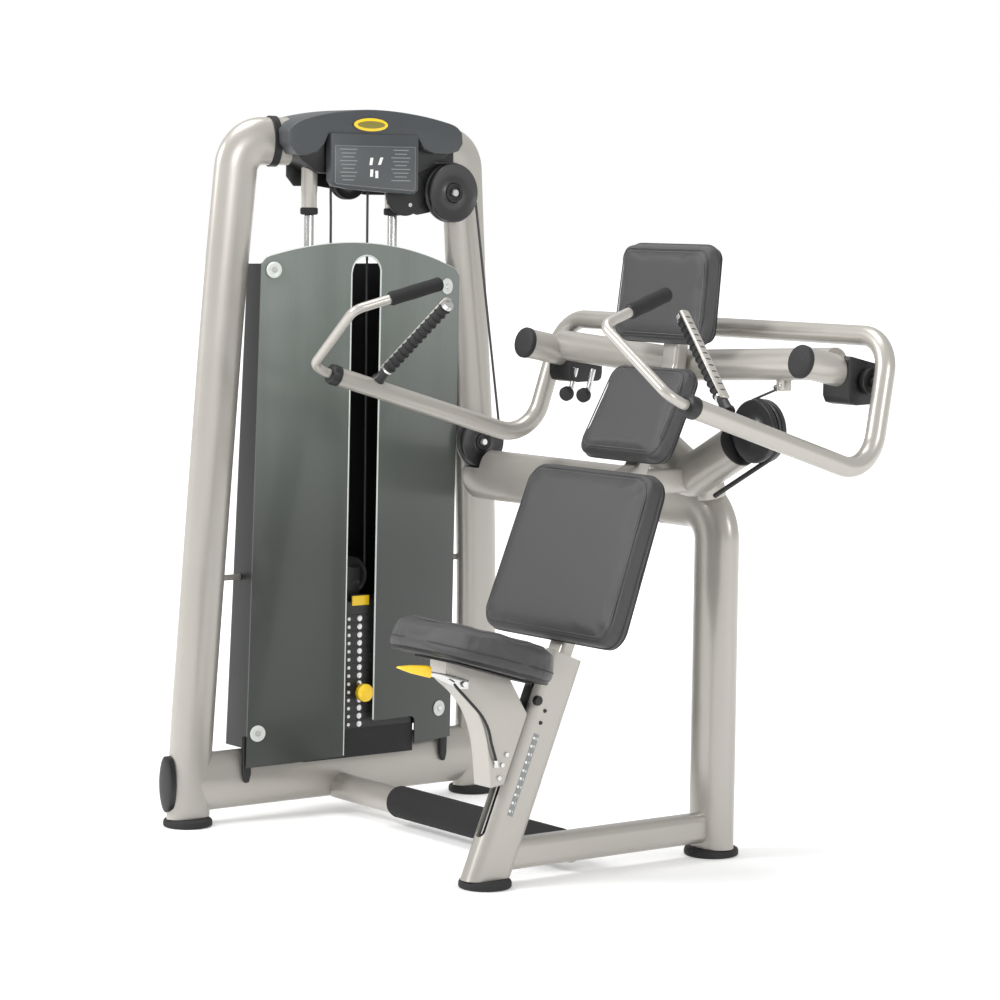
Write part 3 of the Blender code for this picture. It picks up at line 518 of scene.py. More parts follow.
@dataclass
class Effects:
    """The shared shader groups, each built once."""

    grains: dict = field(default_factory=dict)
    wear: Optional[bpy.types.NodeTree] = None
    dust: Optional[bpy.types.NodeTree] = None

    def prepare(self) -> None:
        """Build every group."""
        self.grains = {Grain.FINE: fine_grain(), Grain.HIDE: hide_grain(), Grain.BRUSHED: brushed_grain()}
        self.wear = handling_wear()
        self.dust = settled_dust()


EFFECTS = Effects()
MATERIALS: dict = {}


@dataclass(frozen=True)
class Finish:
    """One surface finish and the record's slot that it belongs to."""

    name: str
    slot: str
    colour: tuple
    roughness: float
    metallic: float = 0.0
    grain: Grain = Grain.FINE
    scale: float = 900.0
    relief: float = 0.10
    depth: float = 0.0002
    tone: float = 0.10
    wear: float = 0.0
    worn: tuple = (0.3, 0.3, 0.3)
    dust: float = 0.012
    coat: float = 0.0
    sheen: float = 0.0
    # Gain of the painted reflection that lightens a tinted sheet towards its top; 1 leaves it out.
    painted_reflection_gain: float = 1.0

    def material(self) -> bpy.types.Material:
        """Return the finish's material, built the first time it is asked for."""
        if self.name not in MATERIALS:
            MATERIALS[self.name] = self.build()
        return MATERIALS[self.name]

    def build(self) -> bpy.types.Material:
        """Build the node graph: tone, wear and dust into colour, and grain into bump."""
        mat = bpy.data.materials.new(self.name)
        mat.use_nodes = True
        g = Graph(mat.node_tree)
        shader = mat.node_tree.nodes["Principled BSDF"]
        place = g.add("ShaderNodeTexCoord")
        spot = (place, "Object")
        grain = g.add("ShaderNodeGroup", node_tree=EFFECTS.grains[self.grain])
        grain.inputs["Scale"].default_value = self.scale
        g.tree.links.new(place.outputs["Object"], grain.inputs["Vector"])
        dark = (*[c * (1 - self.tone) for c in self.colour], 1.0)
        light = (*[min(1.0, c * (1 + self.tone)) for c in self.colour], 1.0)
        colour = g.blend((grain, "Tone"), dark, light)
        # Painted reflection: the colour lightens in streaky bands towards the top of the sheet.
        if self.painted_reflection_gain != 1.0:
            colour = self.painted_reflection_ramp(g, spot, colour)
        wear = g.add("ShaderNodeGroup", node_tree=EFFECTS.wear)
        wear.inputs["Worn Color"].default_value = (*self.worn, 1.0)
        wear.inputs["Amount"].default_value = self.wear
        dust = g.add("ShaderNodeGroup", node_tree=EFFECTS.dust)
        dust.inputs["Amount"].default_value = self.dust
        for node, source in ((wear, colour), (dust, (wear, "Color"))):
            g.tree.links.new(source[0].outputs[source[1]], node.inputs["Color"])
            g.tree.links.new(place.outputs["Object"], node.inputs["Vector"])
        rough = g.add("ShaderNodeMapRange", {"Value": (grain, "Tone"),
                                             "To Min": max(0.05, self.roughness - 0.07),
                                             "To Max": min(1.0, self.roughness + 0.07)})
        dull = g.maths('ADD', (rough, "Result"), (dust, "Mask"), clamp=True)
        bump = g.add("ShaderNodeBump", {"Height": (grain, "Height"), "Strength": self.relief,
                                        "Distance": self.depth})
        links = g.tree.links
        links.new(dust.outputs["Color"], shader.inputs["Base Color"])
        links.new(dull[0].outputs[dull[1]], shader.inputs["Roughness"])
        links.new(bump.outputs["Normal"], shader.inputs["Normal"])
        shader.inputs["Metallic"].default_value = self.metallic
        shader.inputs["Coat Weight"].default_value = self.coat
        shader.inputs["Coat Roughness"].default_value = 0.12
        shader.inputs["Sheen Weight"].default_value = self.sheen
        shader.inputs["Sheen Roughness"].default_value = 0.4
        return mat

    def painted_reflection_ramp(self, g: Graph, spot: tuple, colour: tuple) -> tuple:
        """Paint a reflection onto a tinted sheet: its colour lightens in streaky bands towards its top, so
        the sheet is darker towards its foot.

        Args:
            g: the material's graph.
            spot: the coordinate output.
            colour: the colour so far.
        Returns:
            The output pair of the colour with the painted reflection.
        """
        parts = g.add("ShaderNodeSeparateXYZ", {"Vector": spot})
        rise = g.add("ShaderNodeMapRange", {"Value": (parts, "Z"), "From Min": 0.55, "From Max": 1.33,
                                            "To Min": 0.0, "To Max": 1.0}, interpolation_type='SMOOTHSTEP')
        stretch = g.add("ShaderNodeVectorMath", {0: spot, 1: (1.0, 1.0, 0.02)}, operation='MULTIPLY')
        streaks = g.add("ShaderNodeTexNoise", {"Vector": (stretch, "Vector"), "Scale": 26.0, "Detail": 3.0})
        band = g.maths('MULTIPLY_ADD', (streaks, "Fac"), 0.5)
        band[0].inputs[2].default_value = 0.75
        height = g.maths('MULTIPLY', (rise, "Result"), band, clamp=True)
        top = (*[min(1.0, c * self.painted_reflection_gain) for c in self.colour], 1.0)
        return g.blend(height, colour, top)


SATIN = Finish("satin_silver_paint", "frame_paint", (0.44, 0.42, 0.385), 0.32, metallic=0.45, scale=2600,
               relief=0.05, depth=0.0001, tone=0.03, wear=0.10, worn=(0.45, 0.43, 0.40), coat=0.25)
BLACK_PAINT = Finish("black_bracket_paint", "frame_paint", (0.010, 0.010, 0.0105), 0.42, scale=1500, wear=0.2,
                     worn=(0.08, 0.08, 0.08))
STEEL = Finish("bright_steel", "chrome", (0.66, 0.66, 0.65), 0.22, metallic=1.0, grain=Grain.BRUSHED,
               relief=0.05, depth=0.00005, tone=0.05, dust=0.02)
PLATE = Finish("black_stack_paint", "stack_steel", (0.020, 0.020, 0.021), 0.42, scale=1300, wear=0.55,
               worn=(0.16, 0.16, 0.16), relief=0.12)
RUBBER = Finish("black_rubber", "rubber", (0.014, 0.014, 0.015), 0.72, scale=1700, relief=0.25, wear=0.35,
                worn=(0.05, 0.049, 0.047), dust=0.04)
FOAM = Finish("black_foam_grip", "rubber", (0.011, 0.011, 0.012), 0.86, scale=1100, relief=0.5, depth=0.0004)
SLATE = Finish("slate_cover_plastic", "slate_plastic", (0.050, 0.055, 0.060), 0.40, scale=1900, relief=0.14,
               tone=0.08)
PLACARD = Finish("placard_plastic", "slate_plastic", (0.074, 0.080, 0.085), 0.38, scale=2600, relief=0.05)
# The smoked shell carries a painted reflection: its colour is lifted up to 4.4 times towards its top, so it
# is darker towards its foot.
SMOKE = Finish("smoked_shell", "smoked_shell", (0.036, 0.041, 0.037), 0.34, scale=2200, relief=0.0,
               tone=0.03, coat=0.35, painted_reflection_gain=4.4, dust=0.0)
EDGE = Finish("shell_edge", "smoked_shell", (0.62, 0.65, 0.62), 0.30, coat=0.5, dust=0.02)
BLACK = Finish("black_plastic", "black_plastic", (0.0085, 0.0085, 0.009), 0.42, scale=1600, relief=0.16)
WHEEL = Finish("pulley_nylon", "black_plastic", (0.019, 0.019, 0.020), 0.36, scale=1400, relief=0.08,
               coat=0.15)
CORD = Finish("cable_jacket", "black_plastic", (0.045, 0.045, 0.047), 0.35, grain=Grain.BRUSHED, relief=0.2)
VINYL = Finish("charcoal_vinyl", "vinyl", (0.036, 0.036, 0.038), 0.42, grain=Grain.HIDE, scale=640,
               relief=0.30,
               depth=0.0004, tone=0.09, wear=0.12, worn=(0.10, 0.10, 0.105), sheen=0.12)
SIDE_VINYL = Finish("black_side_vinyl", "vinyl", (0.020, 0.020, 0.021), 0.55, grain=Grain.HIDE, scale=640,
                    relief=0.3, depth=0.0004)
THREAD = Finish("grey_thread", "vinyl", (0.16, 0.16, 0.165), 0.7, scale=4000, relief=0.4)
YELLOW = Finish("yellow_plastic", "yellow_plastic", (0.92, 0.60, 0.010), 0.33, scale=1800, relief=0.06,
                tone=0.05, wear=0.15, worn=(0.70, 0.50, 0.10), coat=0.3)
OLIVE = Finish("badge_field", "yellow_plastic", (0.22, 0.19, 0.03), 0.4, scale=1800, relief=0.06)
PRINT = Finish("white_print", "slate_plastic", (0.82, 0.82, 0.80), 0.55, scale=2500, relief=0.05)
FAINT = Finish("grey_print", "slate_plastic", (0.24, 0.25, 0.255), 0.55, scale=2500, relief=0.05)


# ---------------------------------------------------------------- putting pieces on the frame

@dataclass
class Maker:
    """Carries finished bodies onto the frame and keeps count of them."""

    count: int = 0

    def place(self, name: str, body: bmesh.types.BMesh | bpy.types.Mesh, finish: Finish, rider: str,
              replaces: Sequence[str] = (), sharp: float = 34.0,
              keep_normals: bool = False) -> bpy.types.Object:
        """Finish one piece.

        Args:
            name: the piece's name.
            body: its shape in machine coordinates.
            finish: its finish.
            rider: the frame body that it moves with.
            replaces: the nodes that it stands for.
            sharp: edges that turn more than this stay sharp, in degrees.
            keep_normals: leave the direction of the faces as it is.
        Returns:
            The piece.
        """
        if isinstance(body, bpy.types.Mesh):
            mesh = body
            bm = bmesh.new()
            bm.from_mesh(mesh)
            bpy.data.meshes.remove(mesh)
        else:
            bm = body
        if not keep_normals:
            bmesh.ops.recalc_face_normals(bm, faces=bm.faces)
        bmesh.ops.translate(bm, verts=bm.verts, vec=ORIGIN)
        limit = math.radians(sharp)
        for face in bm.faces:
            face.smooth = True
        for edge in bm.edges:
            edge.smooth = not (len(edge.link_faces) == 2 and edge.calc_face_angle(0.0) > limit)
        mesh = bpy.data.meshes.new(name)
        bm.to_mesh(mesh)
        bm.free()
        mesh.materials.clear()
        mesh.materials.append(finish.material())
        obj = bpy.data.objects.new(name, mesh)
        bpy.context.scene.collection.objects.link(obj)
        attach(obj, rider)
        if replaces:
            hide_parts(*replaces)
        self.count += 1
        LOG.info("%s on %s, %d faces", name, rider, len(mesh.polygons))
        return obj

    def dress(self, node: str, finish: Finish) -> None:
        """Give a frame node its finish."""
        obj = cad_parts[node]
        if obj.material_slots:
            for slot in obj.material_slots:
                slot.link = 'OBJECT'
                slot.material = finish.material()
        else:
            obj.data.materials.append(finish.material())
        LOG.info("%s dressed in %s", node, finish.name)


MAKER = Maker()


# ---------------------------------------------------------------- what repeats

class Repeats:
    """Geometry Nodes trees for screws, rings, discs and stitches."""

    def __init__(self) -> None:
        """Start with no trees; each is built when it is first used."""
        self.trees: dict = {}

    def tree(self, name: str, inputs: dict) -> tuple:
        """Start a tree with a Geometry input and output.

        Args:
            name: the tree's name.
            inputs: socket name to (socket type, value).
        Returns:
            The tree, its Graph and its Group Input node.
        """
        tree = bpy.data.node_groups.new(name, "GeometryNodeTree")
        tree.interface.new_socket(name="Geometry", in_out='INPUT', socket_type="NodeSocketGeometry")
        for label, (kind, value) in inputs.items():
            socket = tree.interface.new_socket(name=label, in_out='INPUT', socket_type=kind)
            if value is not None:
                socket.default_value = value
        tree.interface.new_socket(name="Geometry", in_out='OUTPUT', socket_type="NodeSocketGeometry")
        graph = Graph(tree)
        return tree, graph, graph.add("NodeGroupInput")

    def close(self, g: Graph, given: bpy.types.Node, shape: tuple) -> None:
        """End a tree in Realize Instances and Set Material."""
        real = g.add("GeometryNodeRealizeInstances", {"Geometry": shape})
        painted = g.add("GeometryNodeSetMaterial", {"Geometry": (real, "Geometry"),
                                                    "Material": (given, "Material")})
        g.add("NodeGroupOutput", {"Geometry": (painted, "Geometry")})

    def screws(self) -> bpy.types.NodeTree:
        """Socket-head screws at points that carry a facing direction."""
        tree, g, given = self.tree("socket_screws", {
            "Head Radius": (FLOAT, 0.006), "Head Height": (FLOAT, 0.003), "Socket Radius": (FLOAT, 0.003),
            "Material": ("NodeSocketMaterial", None)})
        shoulder = g.maths('MULTIPLY', (given, "Head Radius"), 0.82)
        head = g.add("GeometryNodeMeshCone", {"Vertices": 24, "Radius Top": shoulder,
                                              "Radius Bottom": (given, "Head Radius"),
                                              "Depth": (given, "Head Height")})
        socket = g.add("GeometryNodeMeshCylinder", {"Vertices": 6, "Radius": (given, "Socket Radius"),
                                                    "Depth": (given, "Head Height")})
        lowered = g.add("ShaderNodeCombineXYZ", {"Z": g.maths('MULTIPLY', (given, "Head Height"), 0.45)})
        seated = g.add("GeometryNodeTransform",
                       {"Geometry": (socket, "Mesh"), "Translation": (lowered, "Vector")})
        drilled = g.add("GeometryNodeMeshBoolean", {"Mesh 1": (head, "Mesh"), "Mesh 2": (seated, "Geometry")},
                        operation='DIFFERENCE')
        facing = g.add("GeometryNodeInputNamedAttribute", {"Name": "facing"}, data_type='FLOAT_VECTOR')
        aim = g.add("FunctionNodeAlignRotationToVector", {"Vector": (facing, "Attribute")}, axis='Z')
        dots = g.add("GeometryNodeMeshToPoints", {"Mesh": (given, "Geometry")})
        spread = g.add("GeometryNodeInstanceOnPoints",
                       {"Points": (dots, "Points"), "Instance": (drilled, "Mesh"),
                                                        "Rotation": (aim, "Rotation")})
        self.close(g, given, (spread, "Instances"))
        return tree

    def rings(self) -> bpy.types.NodeTree:
        """Rings in a row along Z."""
        tree, g, given = self.tree("ring_row", {
            "Count": ("NodeSocketInt", 10), "Pitch": (FLOAT, 0.01), "Ring Radius": (FLOAT, 0.015),
            "Wire Radius": (FLOAT, 0.003), "Material": ("NodeSocketMaterial", None)})
        step = g.add("ShaderNodeCombineXYZ", {"Z": (given, "Pitch")})
        row = g.add("GeometryNodeMeshLine", {"Count": (given, "Count"), "Offset": (step, "Vector")})
        wire = g.add("GeometryNodeCurvePrimitiveCircle", {"Resolution": 10, "Radius": (given, "Wire Radius")})
        hoop = g.add("GeometryNodeCurvePrimitiveCircle", {"Resolution": 36, "Radius": (given, "Ring Radius")})
        ring = g.add("GeometryNodeCurveToMesh", {"Curve": (hoop, "Curve"), "Profile Curve": (wire, "Curve")})
        spread = g.add("GeometryNodeInstanceOnPoints", {"Points": (row, "Mesh"), "Instance": (ring, "Mesh")})
        self.close(g, given, (spread, "Instances"))
        return tree

    def discs(self) -> bpy.types.NodeTree:
        """Round discs in a row, facing Z and running along X."""
        tree, g, given = self.tree("disc_row", {
            "Count": ("NodeSocketInt", 10), "Pitch": (FLOAT, 0.02), "Radius": (FLOAT, 0.003),
            "Thickness": (FLOAT, 0.0006), "Material": ("NodeSocketMaterial", None)})
        step = g.add("ShaderNodeCombineXYZ", {"X": (given, "Pitch")})
        row = g.add("GeometryNodeMeshLine", {"Count": (given, "Count"), "Offset": (step, "Vector")})
        disc = g.add("GeometryNodeMeshCylinder", {"Vertices": 20, "Radius": (given, "Radius"),
                                                  "Depth": (given, "Thickness")})
        spread = g.add("GeometryNodeInstanceOnPoints", {"Points": (row, "Mesh"), "Instance": (disc, "Mesh")})
        self.close(g, given, (spread, "Instances"))
        return tree

    def stitches(self) -> bpy.types.NodeTree:
        """Thread stitches along a line."""
        tree, g, given = self.tree("stitch_line", {
            "Pitch": (FLOAT, 0.0055), "Length": (FLOAT, 0.0036), "Thread Radius": (FLOAT, 0.00055),
            "Material": ("NodeSocketMaterial", None)})
        line = g.add("GeometryNodeMeshToCurve", {"Mesh": (given, "Geometry")})
        even = g.add("GeometryNodeResampleCurve", {"Curve": (line, "Curve"), "Length": (given, "Pitch")},
                     mode='LENGTH')
        thread = g.add("GeometryNodeMeshCylinder", {"Vertices": 6, "Radius": (given, "Thread Radius"),
                                                    "Depth": (given, "Length")})
        along = g.add("GeometryNodeInputTangent")
        aim = g.add("FunctionNodeAlignRotationToVector", {"Vector": (along, "Tangent")}, axis='Z')
        spread = g.add("GeometryNodeInstanceOnPoints",
                       {"Points": (even, "Curve"), "Instance": (thread, "Mesh"),
                                                        "Rotation": (aim, "Rotation")})
        self.close(g, given, (spread, "Instances"))
        return tree

    def grow(self, kind: str, base: bpy.types.Mesh, finish: Finish, **sizes: float) -> bpy.types.Mesh:
        """Run a tree on a base mesh.

        Args:
            kind: name of the method that builds the tree.
            base: points or lines that the tree reads.
            finish: finish of what it makes.
            sizes: the tree's inputs, with spaces in their names written as underscores.
        Returns:
            The plain mesh that the tree makes.
        """
        if kind not in self.trees:
            self.trees[kind] = getattr(self, kind)()
        tree = self.trees[kind]
        obj = bpy.data.objects.new(kind, base)
        bpy.context.scene.collection.objects.link(obj)
        modifier = obj.modifiers.new(kind, 'NODES')
        modifier.node_group = tree
        wanted = {label.replace("_", " "): value for label, value in sizes.items()}
        wanted["Material"] = finish.material()
        for item in tree.interface.items_tree:
            if item.item_type == 'SOCKET' and item.in_out == 'INPUT' and item.name in wanted:
                modifier[item.identifier] = wanted[item.name]
        return settled(obj)


REPEATS = Repeats()


def point_mesh(places: Sequence[Sequence[float]], facings: Sequence[Sequence[float]]) -> bpy.types.Mesh:
    """Return a mesh of loose points, each with the direction it faces."""
    mesh = bpy.data.meshes.new("points")
    mesh.from_pydata([tuple(p) for p in places], [], [])
    facing = mesh.attributes.new("facing", 'FLOAT_VECTOR', 'POINT')
    for item, direction in zip(facing.data, facings):
        item.vector = Vector(direction).normalized()
    return mesh


def line_mesh(points: Sequence[Vector], closed: bool) -> bpy.types.Mesh:
    """Return a mesh of one polyline."""
    edges = [(i, i + 1) for i in range(len(points) - 1)]
    if closed:
        edges.append((len(points) - 1, 0))
    mesh = bpy.data.meshes.new("line")
    mesh.from_pydata([tuple(p) for p in points], edges, [])
    return mesh


def screws(name: str, places: Sequence[Sequence[float]], facings: Sequence[Sequence[float]], rider: str,
           radius: float = 0.006, height: float = 0.003, finish: Finish = STEEL) -> bpy.types.Object:
    """Put a set of socket-head screws on the machine.

    Args:
        name: the set's name.
        places: where each head stands.
        facings: where each head looks.
        rider: the frame body.
        radius: head radius.
        height: head height.
        finish: finish of the heads.
    Returns:
        The screws as one piece.
    """
    mesh = REPEATS.grow("screws", point_mesh(places, facings), finish, Head_Radius=radius, Head_Height=height,
                        Socket_Radius=radius * 0.48)
    return MAKER.place(name, mesh, finish, rider, sharp=25.0)


def rings(name: str, start: Vector, along: Vector, count: int, pitch: float, radius: float, wire: float,
          finish: Finish, rider: str) -> bpy.types.Object:
    """Put a row of rings on the machine.

    Args:
        name: the row's name.
        start: centre of the first ring.
        along: the row's direction.
        count: number of rings.
        pitch: distance between them.
        radius: radius of a ring's centreline.
        wire: radius of its wire.
        finish: its finish.
        rider: the frame body.
    Returns:
        The rings as one piece.
    """
    base = bpy.data.meshes.new("none")
    mesh = REPEATS.grow("rings", base, finish, Count=count, Pitch=pitch, Ring_Radius=radius, Wire_Radius=wire)
    mesh.transform(turned_to(along, start))
    return MAKER.place(name, mesh, finish, rider)


def discs(name: str, start: Vector, along: Vector, facing: Vector, count: int, pitch: float, radius: float,
          finish: Finish, rider: str, thickness: float = 0.0006) -> bpy.types.Object:
    """Put a row of flat discs on the machine.

    Args:
        name: the row's name.
        start: centre of the first disc.
        along: the row's direction.
        facing: the direction that the discs face.
        count: number of discs.
        pitch: distance between them.
        radius: disc radius.
        finish: its finish.
        rider: the frame body.
        thickness: disc thickness.
    Returns:
        The discs as one piece.
    """
    base = bpy.data.meshes.new("none")
    mesh = REPEATS.grow("discs", base, finish, Count=count, Pitch=pitch, Radius=radius, Thickness=thickness)
    x = Vector(along).normalized()
    z = Vector(facing).normalized()
    matrix = Matrix((x, z.cross(x), z)).transposed().to_4x4()
    matrix.translation = Vector(start)
    mesh.transform(matrix)
    return MAKER.place(name, mesh, finish, rider)


# ---------------------------------------------------------------- tower

@dataclass
class Tower:
    """The two oval legs, the base beam and its cap."""

    leg_width: float = 0.060
    leg_depth: float = 0.110
    bend_radius: float = 0.085
    base_width: float = 0.058
    base_height: float = 0.136
    base_z: float = 0.099
    front: tuple = ((-0.799, 0.020), (-0.799, 0.050), (-0.790, 0.220), (-0.750, 0.720), (-0.710, 1.208),
                    (-0.672, 1.570), (-0.540, 1.572))
    rear: tuple = ((0.012, 0.020), (0.012, 0.050), (0.018, 0.160), (0.016, 0.690), (-0.031, 1.346),
                   (-0.043, 1.560), (-0.136, 1.562))

    def build(self) -> None:
        """Build the legs, their pins, the beam, its cap and the feet."""
        section = oval(self.leg_width, self.leg_depth, 64)
        pins = {"front_leg": ((-0.740, -0.6499), 0.566, -0.020),
                "rear_leg": ((-0.020, -0.1073), 0.580, -0.010)}
        for name, line in (("front_leg", self.front), ("rear_leg", self.rear)):
            path = bend([(TOWER_X, y, z) for y, z in line], self.bend_radius, 18)
            ends, z, inset = pins[name]
            pin = rod((TOWER_X + inset, ends[0], z), (TOWER_X + inset, ends[1], z), 0.007)
            body = join(sweep(path, section, (1, 0, 0)), pin)
            if name == "rear_leg":
                axle_end = TOWER_X + 0.0740
                join(body, rod((TOWER_X + 0.020, -0.017, 0.864), (axle_end, -0.017, 0.864), 0.008))
            MAKER.place(name + "_tube", body, SATIN, "frame", [name])
        beam = sweep([Vector((TOWER_X, -0.785, self.base_z)), Vector((TOWER_X, 0.008, self.base_z))],
                     oval(self.base_width, self.base_height, 64), (1, 0, 0))
        MAKER.place("base_beam_tube", beam, SATIN, "frame", ["base_beam"])
        self.build_caps()
        self.build_feet()

    def build_caps(self) -> None:
        """Oval black caps that close the base beam outside each leg."""
        for name, y, sign in (("front", -0.799, -1), ("rear", 0.014, 1)):
            near = y + sign * 0.048
            face = y + sign * (self.leg_depth / 2 + 0.006)
            path = [Vector((TOWER_X, near, self.base_z + 0.003)),
                    Vector((TOWER_X, face, self.base_z + 0.003))]
            cap = sweep(path, oval(0.056, 0.130, 56), (1, 0, 0), dome=0.004)
            MAKER.place(f"base_cap_{name}", cap, BLACK, "frame")

    def build_feet(self) -> None:
        """Rubber discs under the four uprights."""
        for node in ("foot_tower_front", "foot_tower_rear", "foot_column", "foot_post"):
            low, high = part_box(node)
            centre = (low + high) / 2 - ORIGIN
            radius = (high.x - low.x) / 2
            top = high.z
            profile = [(0.0, radius - 0.006), (0.0012, radius - 0.002), (0.0035, radius),
                       (top - 0.008, radius),
                       (top - 0.004, radius - 0.0015), (top - 0.0012, radius - 0.006), (top, radius - 0.012)]
            body = turned(profile, (centre.x, centre.y, 0.0), (0, 0, 1), 72)
            MAKER.place(node + "_disc", body, RUBBER, "frame", [node])


# ---------------------------------------------------------------- head

@dataclass
class Head:
    """The arched cover, its placard and badge, the cheeks and the rod sleeves."""

    low_x: float = TOWER_X - 0.054
    high_x: float = TOWER_X + 0.076
    face_x: float = TOWER_X + 0.083
    sleeve_radius: float = 0.019
    rod_radius: float = 0.011
    rod_ys: tuple = (-0.4845, -0.2495)

    def build(self) -> None:
        """Build every piece of the head."""
        self.build_cover()
        self.build_placard()
        self.build_bracket()
        self.build_sleeves()

    def build_cover(self) -> None:
        """Arched shell with two drooping wings and a deeper middle."""
        crown = flowing([(0, -0.583, 1.598), (0, -0.560, 1.6155), (0, -0.520, 1.629), (0, -0.460, 1.640),
                         (0, -0.400, 1.6465), (0, -0.345, 1.6485), (0, -0.280, 1.6455), (0, -0.210, 1.6375),
                         (0, -0.150, 1.6265), (0, -0.113, 1.616), (0, -0.094, 1.600)], 4)
        wings = [(-0.092, 1.575), (-0.104, 1.557), (-0.135, 1.5495), (-0.175, 1.5500), (-0.205, 1.560),
                 (-0.222, 1.586), (-0.474, 1.590), (-0.486, 1.566), (-0.505, 1.548), (-0.535, 1.5395),
                 (-0.560, 1.543), (-0.582, 1.566)]
        outline = [(p.y, p.z) for p in crown] + wings
        shell = eased(prism(outline, self.low_x, self.high_x), 0.009, 4, 40)
        middle = [(-0.471, 1.592), (-0.471, 1.484), (-0.461, 1.471), (-0.420, 1.4645), (-0.350, 1.4600),
                  (-0.280, 1.4560), (-0.236, 1.4545), (-0.225, 1.4650), (-0.225, 1.592)]
        front = eased(prism(middle, TOWER_X + 0.058, self.face_x - 0.0012), 0.003, 3, 35)
        MAKER.place("head_cover_shell", join(shell, front), SLATE, "frame", ["head_cover"], sharp=50)
        # Black skirt recessed under the wings: painted shade for the hollow under the cover, darker than the
        # slate shell.
        shade_skirt_outline = [(-0.555, 1.556), (-0.540, 1.592), (-0.110, 1.594), (-0.098, 1.566), (-0.150, 1.520),
                 (-0.215, 1.500), (-0.480, 1.500), (-0.530, 1.528)]
        inner = eased(prism(shade_skirt_outline, TOWER_X - 0.046, TOWER_X + 0.052), 0.004, 2, 30)
        MAKER.place("head_shade_skirt", inner, BLACK, "frame")
        for word, start, end, z in (("front", -0.572, -0.640, 1.5715), ("rear", -0.098, -0.072, 1.5620)):
            inner = Vector((TOWER_X, start, z))
            outer = inner + (Vector((TOWER_X, end, z)) - inner) * 0.27
            ring = sweep([inner, outer], oval(0.067, 0.117, 56), (1, 0, 0), dome=0.002)
            MAKER.place(f"leg_socket_{word}", ring, BLACK, "frame")

    def build_placard(self) -> None:
        """Instruction placard with plain marks, and the blank oval badge above it."""
        panel = [(-0.463, 1.566), (-0.463, 1.4785), (-0.458, 1.4740), (-0.350, 1.4660), (-0.238, 1.4600),
                 (-0.233, 1.4640), (-0.233, 1.566)]
        plate = eased(prism(panel, self.face_x - 0.0020, self.face_x - 0.0002), 0.0008, 2, 30)
        MAKER.place("placard", plate, PLACARD, "frame")
        corners = ((-0.4605, 1.5635), (-0.4605, 1.4800), (-0.4560, 1.4765), (-0.350, 1.4688),
                   (-0.2400, 1.4630), (-0.2360, 1.4660), (-0.2360, 1.5635))
        border = [Vector((self.face_x - 0.0003, y, z)) for y, z in corners]
        edge = sweep(bend(border, 0.004, 4), oval(0.0012, 0.0012, 8), (1, 0, 0), closed=True)
        MAKER.place("placard_border", edge, FAINT, "frame")
        strokes = []
        for y, z, lean in ((-0.362, 1.5290, 0.003), (-0.338, 1.5300, 0.007), (-0.360, 1.5020, 0.001),
                           (-0.345, 1.4990, 0.0)):
            strokes.append(self.mark(y, z, lean, 0.0042, 0.0085))
        MAKER.place("placard_figures", join(*strokes), PRINT, "frame")
        lines = []
        for row in range(9):
            z = 1.5560 - row * 0.0088
            for y, half in ((-0.424, 0.024 - 0.004 * (row % 3)), (-0.277, 0.027 - 0.005 * ((row + 1) % 3))):
                lines.append(block((self.face_x - 0.0004, y - half, z - 0.0011),
                                   (self.face_x + 0.0001, y + half, z + 0.0011)))
        MAKER.place("placard_lines", join(*lines), FAINT, "frame")
        centre = Vector((self.high_x + 0.001, -0.3595, 1.6135))
        for name, width, height, depth, finish in (("badge", 0.094, 0.0300, 0.0060, YELLOW),
                                                   ("badge_field", 0.078, 0.0185, 0.0066, OLIVE)):
            section = oval(width, height, 48)
            path = [centre - Vector((0.004, 0, 0)), centre + Vector((depth - 0.003, 0, 0))]
            MAKER.place(name, sweep(path, section, (0, 1, 0), dome=0.0012), finish, "frame")
        cap_path = [Vector((self.high_x - 0.004, -0.3595, 1.6135)),
                    Vector((self.high_x + 0.0015, -0.3595, 1.6135))]
        seat = sweep(cap_path, oval(0.100, 0.036, 48), (0, 1, 0), dome=0.001)
        MAKER.place("badge_seat", seat, SLATE, "frame")

    def mark(self, y: float, z: float, lean: float, half_width: float,
             half_height: float) -> bmesh.types.BMesh:
        """Return one slanted stroke on the placard."""
        outline = [(y - half_width, z - half_height), (y + half_width, z - half_height),
                   (y + half_width + lean, z + half_height), (y - half_width + lean, z + half_height)]
        return eased(prism(outline, self.face_x - 0.0005, self.face_x + 0.0004), 0.0016, 3, 60)

